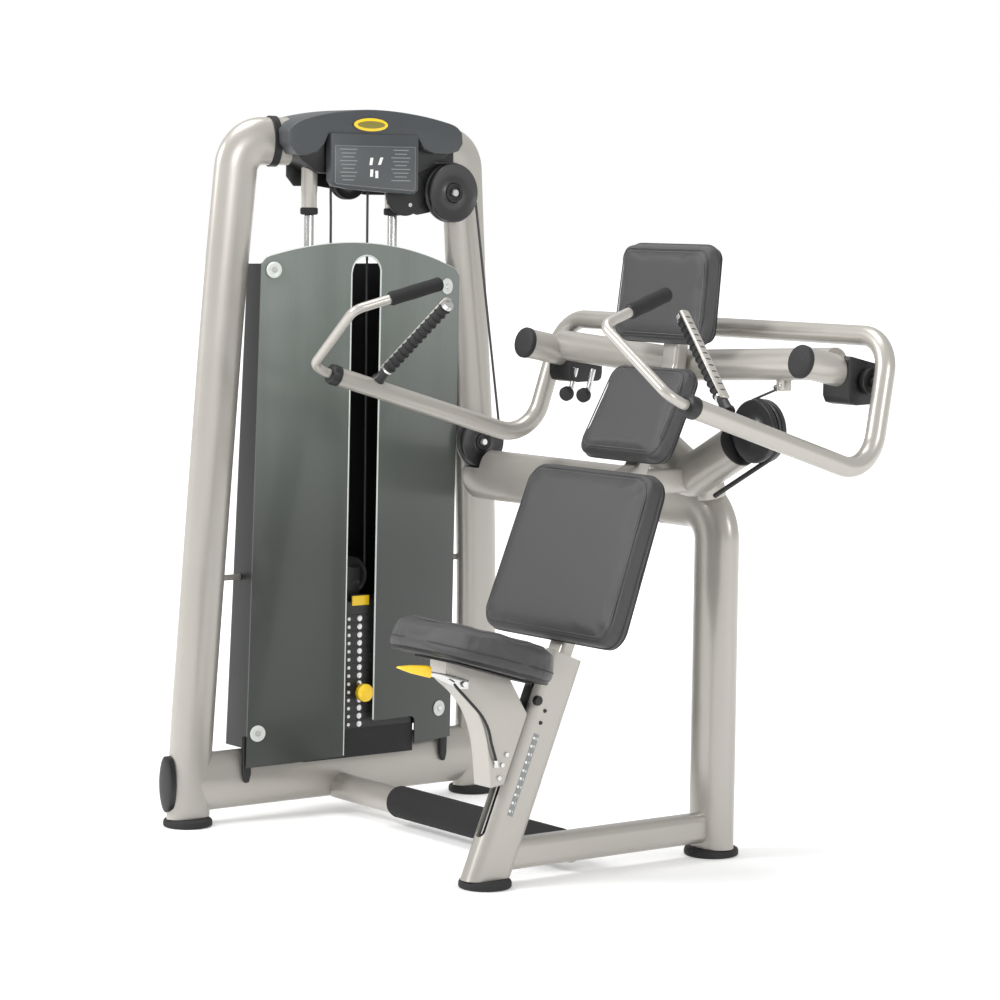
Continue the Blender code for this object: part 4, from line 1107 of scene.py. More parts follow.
    def build_bracket(self) -> None:
        """Top rail, pulley cheeks, axles and the rounded guard behind the placard."""
        x = TOWER_X
        rail = eased(block((x - 0.0305, -0.5395, 1.550), (x + 0.0305, -0.1365, 1.598)), 0.003)
        back = eased(prism([(-0.520, 1.585), (-0.520, 1.492), (-0.500, 1.470), (-0.430, 1.470),
                            (-0.300, 1.452),
                            (-0.160, 1.452), (-0.140, 1.470), (-0.140, 1.585)], x - 0.036, x - 0.030), 0.0015)
        side = eased(prism([(-0.210, 1.590), (-0.210, 1.445), (-0.195, 1.430), (-0.110, 1.430),
                            (-0.092, 1.450),
                            (-0.092, 1.590)], x + 0.0303, x + 0.0370), 0.0015)
        front_y, front_z = -0.378, 1.488
        axle = rod((x - 0.0325, front_y, front_z), (STACK_X + 0.018, front_y, front_z), 0.008)
        big = rod((x + 0.0345, -0.113, 1.459), (x + 0.073, -0.113, 1.459), 0.009)
        MAKER.place("head_frame", join(rail, back, side, axle, big), BLACK_PAINT, "frame", ["head_bracket"])
        guard = turned([(0.0, 0.040), (0.0, 0.053), (0.002, 0.055), (0.006, 0.055), (0.008, 0.053),
                        (0.009, 0.030)],
                       (x + 0.038, -0.236, 1.4585), (1, 0, 0), 64)
        arm = eased(prism([(-0.300, 1.520), (-0.285, 1.430), (-0.200, 1.406), (-0.130, 1.418),
                           (-0.150, 1.520)],
                          x + 0.0375, x + 0.0425), 0.0015)
        MAKER.place("pulley_guard", join(guard, arm), BLACK, "frame")
        screws("guard_screws", [(x + 0.047, -0.2257, 1.4294), (x + 0.0370, -0.150, 1.545)], [(1, 0, 0)] * 2,
               "frame", 0.006, 0.003)

    def build_sleeves(self) -> None:
        """Silver sleeves that hold the guide rods, their black rings and the bright rods."""
        for word, y in zip(("front", "rear"), self.rod_ys):
            profile = [(1.560, self.sleeve_radius), (1.460, self.sleeve_radius),
                       (1.456, self.sleeve_radius - 0.0008),
                       (1.4215, self.sleeve_radius - 0.0008), (1.4195, self.sleeve_radius - 0.002)]
            tube = turned([(-z, r) for z, r in profile], (STACK_X, y, 0.0), (0, 0, -1))
            MAKER.place(f"rod_sleeve_{word}", tube, SATIN, "frame")
            ring_r = self.sleeve_radius + 0.0016
            ring = turned([(1.404, ring_r - 0.004), (1.4055, ring_r - 0.001), (1.408, ring_r),
                           (1.4175, ring_r),
                           (1.4200, ring_r - 0.001), (1.4210, ring_r - 0.004)], (STACK_X, y, 0.0), (0, 0, 1))
            MAKER.place(f"rod_ring_{word}", ring, RUBBER, "frame")
            guide = rod((STACK_X, y, 0.1753), (STACK_X, y, 1.500), self.rod_radius, 0.001, 48)
            MAKER.place(f"guide_rod_{word}_bar", guide, STEEL, "frame", [f"guide_rod_{word}"])


# ---------------------------------------------------------------- shroud

@dataclass
class Shroud:
    """The bowed smoked front shell with its slot, and the black rear cover."""

    half: float = 0.290
    narrow_half: float = 0.268
    thickness: float = 0.004
    top_y: float = -0.368
    foot_y: float = -0.382
    foot_z: float = 0.128
    top_z: float = 1.341
    slot: float = 0.080
    steps: int = 72

    def face(self, s: float) -> float:
        """Return the x of the outer face at the fraction s of the half width."""
        return TOWER_X + 0.080 - 0.033 * s * s

    def edge_heights(self, s: float) -> tuple[float, float]:
        """Return the foot and the top of the shell at the fraction s."""
        corner = max(0.0, abs(s) - 0.94) / 0.06
        return self.foot_z + 0.012 * (1 + s), self.top_z - 0.051 * (s + 0.15) ** 2 - 0.010 * corner ** 2

    def point(self, s: float, share: float, out: float = 0.0) -> Vector:
        """Return a point on the shell: s across, share from foot to top, out from its face."""
        low, high = self.edge_heights(s)
        y_low = self.foot_y + s * self.half
        y_high = self.top_y + s * (self.half if s > 0 else self.narrow_half)
        return Vector((self.face(s) + out, y_low + (y_high - y_low) * share, low + (high - low) * share))

    def build(self) -> None:
        """Build the shell, its edge, its screws and the rear cover."""
        self.build_shell()
        self.build_edge()
        self.build_screws()
        self.build_rear()

    def build_shell(self) -> None:
        """Shell as a curved sheet with the slot and the corner notch cut out."""
        bm = bmesh.new()
        outer = []
        inner = []
        for i in range(self.steps + 1):
            s = -1 + 2 * i / self.steps
            outer.append([bm.verts.new(self.point(s, share)) for share in (0, 0.25, 0.5, 0.75, 1)])
            inner.append([bm.verts.new(self.point(s, share, -self.thickness))
                          for share in (0, 0.25, 0.5, 0.75, 1)])
        for i in range(self.steps):
            for grid in (outer, inner):
                for k in range(4):
                    bm.faces.new((grid[i][k], grid[i + 1][k], grid[i + 1][k + 1], grid[i][k + 1]))
            for k in (0, 4):
                bm.faces.new((outer[i][k], outer[i + 1][k], inner[i + 1][k], inner[i][k]))
        for i in (0, self.steps):
            for k in range(4):
                bm.faces.new((outer[i][k], outer[i][k + 1], inner[i][k + 1], inner[i][k]))
        bmesh.ops.recalc_face_normals(bm, faces=bm.faces)
        half = self.slot / 2
        hole = [(self.foot_y - half, 0.05), (self.foot_y + half, 0.05)]
        for i in range(25):
            angle = math.pi * i / 24
            hole.append((self.top_y + half * math.cos(angle), 1.270 + half * math.sin(angle)))
        notch_y = self.foot_y + half
        notch = eased(block((TOWER_X + 0.020, notch_y - 0.010, 0.020),
                            (TOWER_X + 0.120, notch_y + 0.130, 0.215)),
                      0.012, 5)
        shell = carved(bm, prism(hole, TOWER_X + 0.020, TOWER_X + 0.120), notch)
        MAKER.place("front_shell", shell, SMOKE, "frame", ["shroud_front"], sharp=40)

    def build_edge(self) -> None:
        """Pale chamfer round the slot and along the shell's top."""
        half = self.slot / 2 + 0.0012
        line = []
        for i in range(13):
            z = 0.140 + (1.270 - 0.140) * i / 12
            line.append((self.foot_y + (self.top_y - self.foot_y) * (z - 0.13) / 1.21 - half, z))
        for i in range(1, 24):
            angle = math.pi - math.pi * i / 24
            line.append((self.top_y + half * math.cos(angle), 1.270 + half * math.sin(angle)))
        for i in range(12):
            z = 1.270 - (1.270 - 0.218) * i / 11
            line.append((self.foot_y + (self.top_y - self.foot_y) * (z - 0.13) / 1.21 + half, z))
        path = []
        for y, z in line:
            s = (y - self.top_y) / self.half
            path.append(Vector((self.face(s) - 0.0006, y, z)))
        MAKER.place("slot_edge", sweep(path, oval(0.0030, 0.0042, 12), (1, 0, 0)), EDGE, "frame")
        rim = [self.point(-1 + 2 * i / 60, 1.0, -0.002) for i in range(61)]
        MAKER.place("shell_top_edge", sweep(rim, oval(0.0046, 0.0022, 10), (1, 0, 0), dome=0.001), EDGE,
                    "frame")

    def build_screws(self) -> None:
        """Four bright screws on pale washers at the corners of the shell."""
        places = []
        facings = []
        washers = []
        for y, z in ((-0.6100, 1.2780), (-0.1220, 1.2380), (-0.6450, 0.2080), (-0.1330, 0.2250)):
            s = (y - (self.foot_y + (self.top_y - self.foot_y) * (z - 0.13) / 1.21)) / self.half
            out = Vector((1.0, 0.066 * s / self.half, 0.0)).normalized()
            base = Vector((self.face(s), y, z))
            places.append(base + out * 0.0035)
            facings.append(out)
            washers.append(turned([(-0.001, 0.0130), (0.0015, 0.0190), (0.0030, 0.0184), (0.0040, 0.0150),
                                   (0.0032, 0.0120), (0.0032, 0.006)], base, out, 44))
        MAKER.place("shell_washers", join(*washers), EDGE, "frame")
        screws("shell_screws", places, facings, "frame", 0.0070, 0.0030)

    def build_rear(self) -> None:
        """Black rear cover as a rounded channel, with tongues that reach the base beam."""
        back = TOWER_X - 0.062
        t = 0.004
        bm = bmesh.new()
        loops = []
        for z, y_front, y_rear, x_front in ((0.172, -0.668, -0.102, TOWER_X + 0.0431),
                                            (1.290, -0.615, -0.118, TOWER_X + 0.0509)):
            outer = bend([(x_front, y_front, z), (back, y_front, z), (back, y_rear, z),
                          (x_front, y_rear, z)], 0.018, 8)
            inner = bend([(x_front, y_rear - t, z), (back + t, y_rear - t, z), (back + t, y_front + t, z),
                          (x_front, y_front + t, z)], 0.014, 8)
            loops.append([bm.verts.new(p) for p in outer + inner])
        count = len(loops[0])
        for j in range(count):
            k = (j + 1) % count
            bm.faces.new((loops[0][j], loops[0][k], loops[1][k], loops[1][j]))
        half = count // 2
        for loop in loops:
            for j in range(half - 1):
                bm.faces.new((loop[j], loop[j + 1], loop[count - 2 - j], loop[count - 1 - j]))
        MAKER.place("rear_shell", bm, BLACK, "frame", ["shroud_rear"], sharp=40)
        tongues = []
        for y, depth in ((-0.6640, 0.013), (-0.1045, 0.012)):
            outline = [(y - depth, 0.200), (y - depth * 0.85, 0.110), (y - depth * 0.4, 0.092),
                       (y + depth * 0.4, 0.092),
                       (y + depth * 0.8, 0.110), (y + depth, 0.200)]
            tongues.append(eased(prism(outline, TOWER_X + 0.030, TOWER_X + 0.0405), 0.003, 3))
        MAKER.place("cover_tongues", join(*tongues), BLACK, "frame")


# ---------------------------------------------------------------- stack

@dataclass
class Stack:
    """Plates, head block, selector and the marks on the plates' edges."""

    plates: int = 14
    lifted: int = 10
    pitch: float = 0.0193
    foot: float = 0.1980
    y: float = -0.367
    front: float = STACK_X + 0.050

    def build(self) -> None:
        """Dress the plates and add marks, label and selector."""
        for i in range(1, self.plates + 1):
            MAKER.dress(f"plate_{i:02d}", PLATE)
        MAKER.dress("stack_shelf", RUBBER)
        MAKER.dress("stack_head", PLATE)
        half = self.pitch / 2
        fixed = self.plates - self.lifted
        out = Vector((1, 0, 0))
        for word, low, count, rider in (("lower", 0, fixed, "frame"), ("upper", fixed, self.lifted, "stack")):
            z = self.foot + low * self.pitch + half
            discs(f"plate_marks_{word}", Vector((self.front + 0.0003, self.y - 0.030, z)), Vector((0, 0, 1)),
                  out,
                  count, self.pitch, 0.0042, PRINT, rider)
            spots = [(self.front - 0.0004, self.y, z + i * self.pitch) for i in range(count)]
            bores = [turned([(0.0, 0.0052), (0.0006, 0.0070), (0.0012, 0.0070), (0.0014, 0.0060)], p, out, 24)
                     for p in spots]
            MAKER.place(f"pin_bushes_{word}", join(*bores), STEEL, rider)
        self.build_label()
        self.build_selector(self.foot + fixed * self.pitch + 0.0094)

    def build_label(self) -> None:
        """Blank yellow label on the head block."""
        label = eased(block((self.front - 0.001, self.y - 0.022, 0.4895),
                            (self.front + 0.0012, self.y + 0.026, 0.5125)),
                      0.0009, 2)
        label_back = eased(block((self.front - 0.004, self.y - 0.024, 0.4870),
                             (self.front - 0.0005, self.y + 0.028, 0.5150)),
                       0.0008, 2)
        MAKER.place("stack_label", label, YELLOW, "stack")
        MAKER.place("stack_label_plate", label_back, BLACK, "stack")

    def build_selector(self, z: float) -> None:
        """Selector pin with a round yellow knob."""
        low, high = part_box("selector_pin")
        start = low.x - ORIGIN.x
        reach = high.x - low.x
        place = (start, self.y, z)
        shank = turned([(0.0, 0.0030), (0.003, 0.0048), (reach - 0.034, 0.0048)], place, (1, 0, 0), 32)
        MAKER.place("selector_shank", shank, STEEL, "selector")
        knob_r = (high.y - low.y) / 2
        k = reach - 0.034
        profile = [(k, 0.009), (k + 0.004, 0.0100), (k + 0.008, 0.0115), (k + 0.011, knob_r - 0.003),
                   (k + 0.014, knob_r - 0.0005), (k + 0.017, knob_r), (k + 0.024, knob_r),
                   (k + 0.028, knob_r - 0.001),
                   (k + 0.031, knob_r - 0.0035), (k + 0.0332, knob_r - 0.008), (k + 0.034, 0.004)]
        MAKER.place("selector_knob", turned(profile, place, (1, 0, 0), 56), YELLOW, "selector",
                    ["selector_pin"])
        rings("selector_rings", Vector((start + k + 0.0185, self.y, z)), Vector((1, 0, 0)), 3, 0.0026,
              knob_r - 0.0002, 0.0005, BLACK, "selector")


# ---------------------------------------------------------------- wheels and cables

@dataclass
class Wheel:
    """A grooved pulley with a dished face, a hub ring and its axle bolt."""

    node: str
    rider: str
    axis: tuple = (1, 0, 0)
    groove: float = 0.0045
    bolt_rider: str = "frame"
    out: int = 1

    def build(self) -> None:
        """Build the wheel on its node's box and the bolt on the body that holds the axle."""
        low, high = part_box(self.node)
        centre = (low + high) / 2 - ORIGIN
        axis = Vector(self.axis) * self.out
        size = high - low
        thick = abs(size.dot(axis))
        radius = max(size) / 2
        half = thick / 2
        hub = radius * 0.30
        floor = radius - self.groove
        face = [(half - 0.0050, hub), (half - 0.0012, hub + 0.004), (half - 0.0042, hub + 0.010),
                (half - 0.0052, radius * 0.62), (half - 0.0022, radius * 0.86),
                (half - 0.0004, radius * 0.93),
                (half, radius * 0.955), (half - 0.0020, radius - 0.0006), (half - 0.0036, radius)]
        rim = [(0.0066, radius), (0.0050, floor + 0.0015), (0.0030, floor)]
        rim = [(min(a, half - 0.004), r) for a, r in rim]
        profile = face + rim + [(-a, r) for a, r in reversed(rim)] + [(-a, r) for a, r in reversed(face)]
        MAKER.place(self.node + "_wheel", turned(profile, centre, axis, 72, closed=True), WHEEL, self.rider,
                    [self.node], sharp=30)
        ring = turned([(half - 0.012, hub + 0.001), (half - 0.002, hub + 0.001),
                       (half - 0.0008, hub - 0.0005),
                       (half - 0.0008, hub - 0.004), (half - 0.003, hub - 0.005)], centre, axis, 48)
        MAKER.place(self.node + "_hub", ring, BLACK, self.rider)
        nut = hub * 0.46
        screws(self.node + "_bolt", [centre + axis * (half + 0.0010)], [axis], self.bolt_rider, nut, 0.0042)


@dataclass
class Cables:
    """The steel cables in their black jackets."""

    radius: float = 0.0030
    lift: float = 0.0038
    groove: float = 0.0045

    def arc(self, centre: Vector, radius: float, start: float, end: float,
            across: bool = False) -> list[Vector]:
        """Return an arc about a wheel's axis.

        Args:
            centre: the wheel's centre.
            radius: radius of the arc.
            start: first angle in degrees.
            end: last angle in degrees.
            across: whether the arc lies in the XZ plane instead of YZ.
        Returns:
            The arc's points.
        """
        points = []
        steps = 30
        for i in range(steps + 1):
            angle = math.radians(start + (end - start) * i / steps)
            u = radius * math.cos(angle)
            w = radius * math.sin(angle)
            points.append(centre + (Vector((u, 0, w)) if across else Vector((0, u, w))))
        return points

    def wheel(self, node: str) -> tuple[Vector, float]:
        """Return a wheel's centre and the radius at which a cable runs on it."""
        low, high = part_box(node)
        return (low + high) / 2 - ORIGIN, max(high - low) / 2 - self.groove + self.lift

    def build(self) -> None:
        """Build the tower cable, the stack loop and the drive cable."""
        section = oval(2 * self.radius, 2 * self.radius, 16)
        side, r_side = self.wheel("side_pulley")
        big, r_big = self.wheel("head_pulley_big")
        front, r_front = self.wheel("head_pulley_front")
        low, r_low = self.wheel("floating_pulley")
        drop_y = front.y - r_front + 0.0016
        path = (self.arc(side, r_side, -80, 9) + self.arc(big, r_big, 9, 92)
                + self.arc(front, r_front, 90, 176))
        path.append(Vector((STACK_X, drop_y, 1.400)))
        MAKER.place("tower_cable_run", sweep(path, section, (0.9, 0.1, 0.1)), CORD, "frame", ["tower_cable"])
        down = [Vector((STACK_X, drop_y, 1.400 - (1.400 - 0.60) * i / 40)) for i in range(41)]
        loop = self.arc(low, r_low, 179, 361)
        rise = [Vector((STACK_X, low.y + r_low, 0.60 + (1.5497 - 0.60) * i / 46)) for i in range(47)]
        run = MAKER.place("stack_cable_run", sweep(down + loop + rise, section, (1, 0, 0)), CORD, "frame",
                          ["stack_cable"])
        run.parent = None
        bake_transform(run)
        self.build_drive()

    def build_drive(self) -> None:
        """Drive cable from the shoulder beam's lug over the fork wheel into the fork."""
        hub, radius = self.wheel("fork_pulley")
        wrap = self.arc(hub, radius, 108, -62.5, across=True)
        rise = math.radians(27.5)
        tail = Vector((0.055 * math.cos(rise) + radius * math.sin(rise), hub.y,
                       0.845 + 0.055 * math.sin(rise) - radius * math.cos(rise)))
        body = sweep(wrap + [tail], oval(2 * self.radius, 2 * self.radius, 16), (0, 1, 0))
        lead = rod(wrap[0] + Vector((-0.004, 0, 0.001)), (0.2852, hub.y, 1.0555), 0.0026)
        MAKER.place("drive_cable_run", join(body, lead), CORD, "frame", ["drive_cable"])
        jacket = sweep([wrap[-6], wrap[-1], tail], oval(0.0110, 0.0110, 20), (0, 1, 0), dome=0.002)
        MAKER.place("drive_cable_jacket", jacket, BLACK, "frame")
        clevis = join(eased(block((0.281, hub.y - 0.0085, 1.047), (0.286, hub.y + 0.0085, 1.072)), 0.001, 2),
                      rod((0.268, hub.y, 1.0560), (0.288, hub.y, 1.0560), 0.0055),
                      rod((0.297, hub.y - 0.0150, 1.063), (0.297, hub.y + 0.0150, 1.063), 0.0045))
        MAKER.place("drive_clevis", clevis, STEEL, "frame")


# ---------------------------------------------------------------- fixed frame on the seat side

@dataclass
class SeatFrame:
    """Rear post, cross tubes, fork, spine and shoulder beam."""

    beam_width: float = 0.080
    beam_height: float = 0.120
    beam_z: float = 0.784
    tube_radius: float = 0.031
    tube_y: float = -0.390
    tube_z: float = 0.056
    sleeve_radius: float = 0.037
    fork_y: float = -0.076
    fork_z: float = 0.845
    fork_radius: float = 0.0475
    fork_rise: float = math.radians(27.5)
    fork_length: float = 0.172
    hub_reach: float = 0.248
    shoulder_y: float = -0.0775
    shoulder_z: float = 1.090
    shoulder_rise: float = 0.024
    shoulder_radius: float = 0.034
    stub_x: float = 0.466

    def build(self) -> None:
        """Build every fixed piece."""
        self.build_post()
        self.build_floor_tubes()
        self.build_fork()
        self.build_spine()
        self.build_shoulder()
        self.build_bearings()

    def build_post(self) -> None:
        """Rear post that bends into the beam to the tower, with the shadow line of their joint."""
        z = self.beam_z
        section = oval(self.beam_width, self.beam_height, 72)
        path = bend([(0, 0, 0.0190), (0, 0, z), (-0.1752, 0, z)], 0.095, 26)
        MAKER.place("rear_post_tube", sweep(path, section, (0, 1, 0)), SATIN, "frame", ["rear_post"])
        beam = sweep([Vector((TOWER_X, 0, z)), Vector((-0.1755, 0, z))], section, (0, 1, 0))
        pocket = rod((TOWER_X, -0.017, 0.864), (TOWER_X + 0.0800, -0.017, 0.864), 0.0655, count=64)
        MAKER.place("connect_beam_tube", carved(beam, pocket), SATIN, "frame", ["connect_beam"], sharp=40)
        seam = sweep([Vector((-0.1762, 0, z)), Vector((-0.1742, 0, z))],
                     oval(self.beam_width + 0.0006, self.beam_height + 0.0006, 72), (0, 1, 0))
        MAKER.place("beam_joint_line", seam, BLACK_PAINT, "frame")

    def build_floor_tubes(self) -> None:
        """Low beam from post to column, tube to the tower and its foot sleeve."""
        low = sweep([Vector((0, -0.585, 0.064)), Vector((0, -0.006, 0.064))],
                    rounded(0.050, 0.066, 0.018, 10), (1, 0, 0))
        MAKER.place("seat_base_tube", low, SATIN, "frame", ["seat_base_beam"])
        size = 2 * self.tube_radius
        tube = sweep([Vector((TOWER_X + 0.005, self.tube_y, self.tube_z)),
                      Vector((-0.004, self.tube_y, self.tube_z))],
                     oval(size, size, 56), (0, 1, 0))
        MAKER.place("connect_tube_round", tube, SATIN, "frame", ["connect_tube"])
        r = self.tube_radius + 0.0003
        full = self.sleeve_radius
        profile = [(-0.655, r), (-0.655, r + 0.0025), (-0.6535, full - 0.0015), (-0.648, full - 0.0004),
                   (-0.640, full),
                   (-0.055, full), (-0.047, full - 0.0004), (-0.0415, full - 0.0015), (-0.040, r + 0.0025),
                   (-0.040, r)]
        sleeve = turned(profile, (0, self.tube_y, self.tube_z), (1, 0, 0), 64, closed=True)
        MAKER.place("foot_sleeve", sleeve, FOAM, "frame", ["footrest_sleeve"])
        for word, x in (("tower", -0.6480), ("seat", -0.0475)):
            rings(f"foot_sleeve_ring_{word}", Vector((x, self.tube_y, self.tube_z)), Vector((1, 0, 0)), 1,
                  0.01,
                  full - 0.0009, 0.0010, RUBBER, "frame")

    def fork_point(self, s: float, lift: float = 0.0, out: float = 0.0) -> Vector:
        """Return a point at distance s along the right arm of the fork, lifted square to it."""
        c = math.cos(self.fork_rise)
        w = math.sin(self.fork_rise)
        return Vector((s * c - lift * w, self.fork_y + out, self.fork_z + s * w + lift * c))

    def build_fork(self) -> None:
        """Two-armed fork on the post's head, with its end caps and wheel bracket."""
        right = self.fork_point(self.fork_length)
        size = 2 * self.fork_radius
        path = bend([(-right.x, right.y, right.z), (0, self.fork_y, self.fork_z), right], 0.035, 12)
        arms = sweep(path, oval(size, size, 64), (0, 1, 0))
        saddle = rod((0, self.fork_y + 0.046, self.fork_z - 0.010), (0, -0.022, 0.800), 0.036, 0.002, 48)
        MAKER.place("fork_arms", join(arms, saddle), SATIN, "frame", ["fork"])
        for word, flip in (("left", -1), ("right", 1)):
            inner = self.fork_point(self.fork_length - 0.004)
            outer = self.fork_point(self.fork_length + 0.0035)
            line = [Vector((flip * p.x, p.y, p.z)) for p in (inner, outer)]
            cap = sweep(line, oval(size * 0.985, size * 0.985, 64), (0, 1, 0), dome=0.002)
            MAKER.place(f"fork_cap_{word}", cap, BLACK, "frame")
        back = 0.0210
        strap = [self.fork_point(self.fork_length - 0.030, -0.018),
                 self.fork_point(self.hub_reach + 0.014, -0.018),
                 self.fork_point(self.hub_reach + 0.022, 0.0), self.fork_point(self.hub_reach + 0.014, 0.018),
                 self.fork_point(self.fork_length - 0.030, 0.018)]
        bm = bmesh.new()
        skin(bm, [[bm.verts.new((p.x, self.fork_y + back + deep, p.z)) for p in strap]
                  for deep in (0.0, 0.010)])
        hub = self.fork_point(self.hub_reach)
        axle = rod((hub.x, self.fork_y + back + 0.004, hub.z), (hub.x, self.fork_y - 0.0225, hub.z), 0.010)
        MAKER.place("fork_bracket", join(eased(bm, 0.002), axle), BLACK_PAINT, "frame")

    def build_spine(self) -> None:
        """Bent bar that carries the pads, and its foot block on the fork."""
        lean = math.radians(22.3)
        along = Vector((0, math.sin(lean), math.cos(lean)))
        top = Vector((0, -0.625, 0.0195)) + along * 0.5
        path = bend([top + along * 0.0003, top + along * 0.020, (0, -0.3020, 0.835), (0, -0.234, 0.866),
                     (0, -0.1324, 1.088), (0, -0.1247, 1.150), (0, -0.1076, 1.300)], 0.03, 10)
        bar = sweep(path, rounded(0.050, 0.035, 0.008, 6), (1, 0, 0))
        foot = eased(block((-0.024, -0.262, 0.815), (0.024, -0.085, 0.865)), 0.004)
        MAKER.place("spine_bar", join(bar, foot), SATIN, "frame", ["back_spine"], sharp=45)
        screws("spine_screws", [(x, -0.1040, z) for x in (-0.013, 0.013) for z in (1.235, 1.275)],
               [(0, 1, 0.1)] * 4, "frame", 0.0055, 0.003)

    def build_shoulder(self) -> None:
        """Cross beam with forward stubs, black end caps and the cable lug."""
        r = self.shoulder_radius
        reach = self.stub_x - 0.010
        ends = (reach, self.shoulder_y, self.shoulder_z + self.shoulder_rise)
        path = bend([(-reach, ends[1], ends[2]), (0, self.shoulder_y, self.shoulder_z), ends], 0.3, 12)
        body = sweep(path, oval(2 * r, 2 * r, 64), (0, 1, 0))
        for side, word in ((-1, "left"), (1, "right")):
            front = Vector((side * self.stub_x, -0.181, 1.121))
            rear = Vector((side * self.stub_x, -0.050, 1.095))
            join(body, rod(rear, front, r - 0.0008, 0.001, 64))
            out = (front - rear).normalized()
            cap = turned([(-0.004, r - 0.004), (-0.003, r + 0.0008), (0.004, r + 0.0010),
                          (0.0075, r - 0.0008),
                          (0.0095, r - 0.006), (0.0100, r - 0.016), (0.0102, 0.003)], front, out, 64)
            MAKER.place(f"shoulder_cap_{word}", cap, RUBBER, "frame")
        join(body, eased(block((0.286, self.fork_y - 0.011, 1.050), (0.308, self.fork_y + 0.011, 1.085)),
                         0.002, 2))
        MAKER.place("shoulder_tube", body, SATIN, "frame", ["shoulder_beam"])

    def build_bearings(self) -> None:
        """Black pivot housings, their screws and the rubber stops under the left one."""
        for side, word in ((-1, "left"), (1, "right")):
            outline = [(-0.0850, 1.048), (-0.078, 1.034), (-0.060, 1.030), (0.000, 1.032), (0.008, 1.038),
                       (0.010, 1.050),
                       (0.010, 1.095), (0.004, 1.108), (-0.008, 1.116), (-0.078, 1.132), (-0.085, 1.126)]
            low, high = sorted((side * 0.425, side * 0.504))
            housing = eased(prism(outline, low, high), 0.003, 3)
            pivot = rod((side * 0.490, -0.0345, 1.080), (side * 0.560, -0.0345, 1.080), 0.0118)
            MAKER.place(f"pivot_housing_{word}", join(housing, pivot), BLACK, "frame",
                        [f"bearing_block_{word}"])
            screws(f"housing_screws_{word}", [(side * 0.440, 0.0102, 1.060), (side * 0.490, 0.0102, 1.060),
                                              (side * 0.440, 0.0102, 1.085), (side * 0.490, 0.0102, 1.085)],
                   [(0, 1, 0)] * 4, "frame", 0.0050, 0.0026)
        for k, x in enumerate((-0.4422, -0.3794)):
            stop = turned([(-0.010, 0.008), (-0.009, 0.0140), (-0.004, 0.0165), (0.006, 0.0165),
                           (0.009, 0.0150),
                           (0.0102, 0.006)], (x, -0.080, 1.004), (0.35, -0.9, -0.2), 40)
            arm = rod((x + 0.004, -0.072, 1.010), (x + 0.016, -0.066, 1.064), 0.0060)
            MAKER.place(f"stop_rubber_{k + 1}", stop, RUBBER, "frame")
            MAKER.place(f"stop_arm_{k + 1}", arm, STEEL, "frame")


# ---------------------------------------------------------------- seat

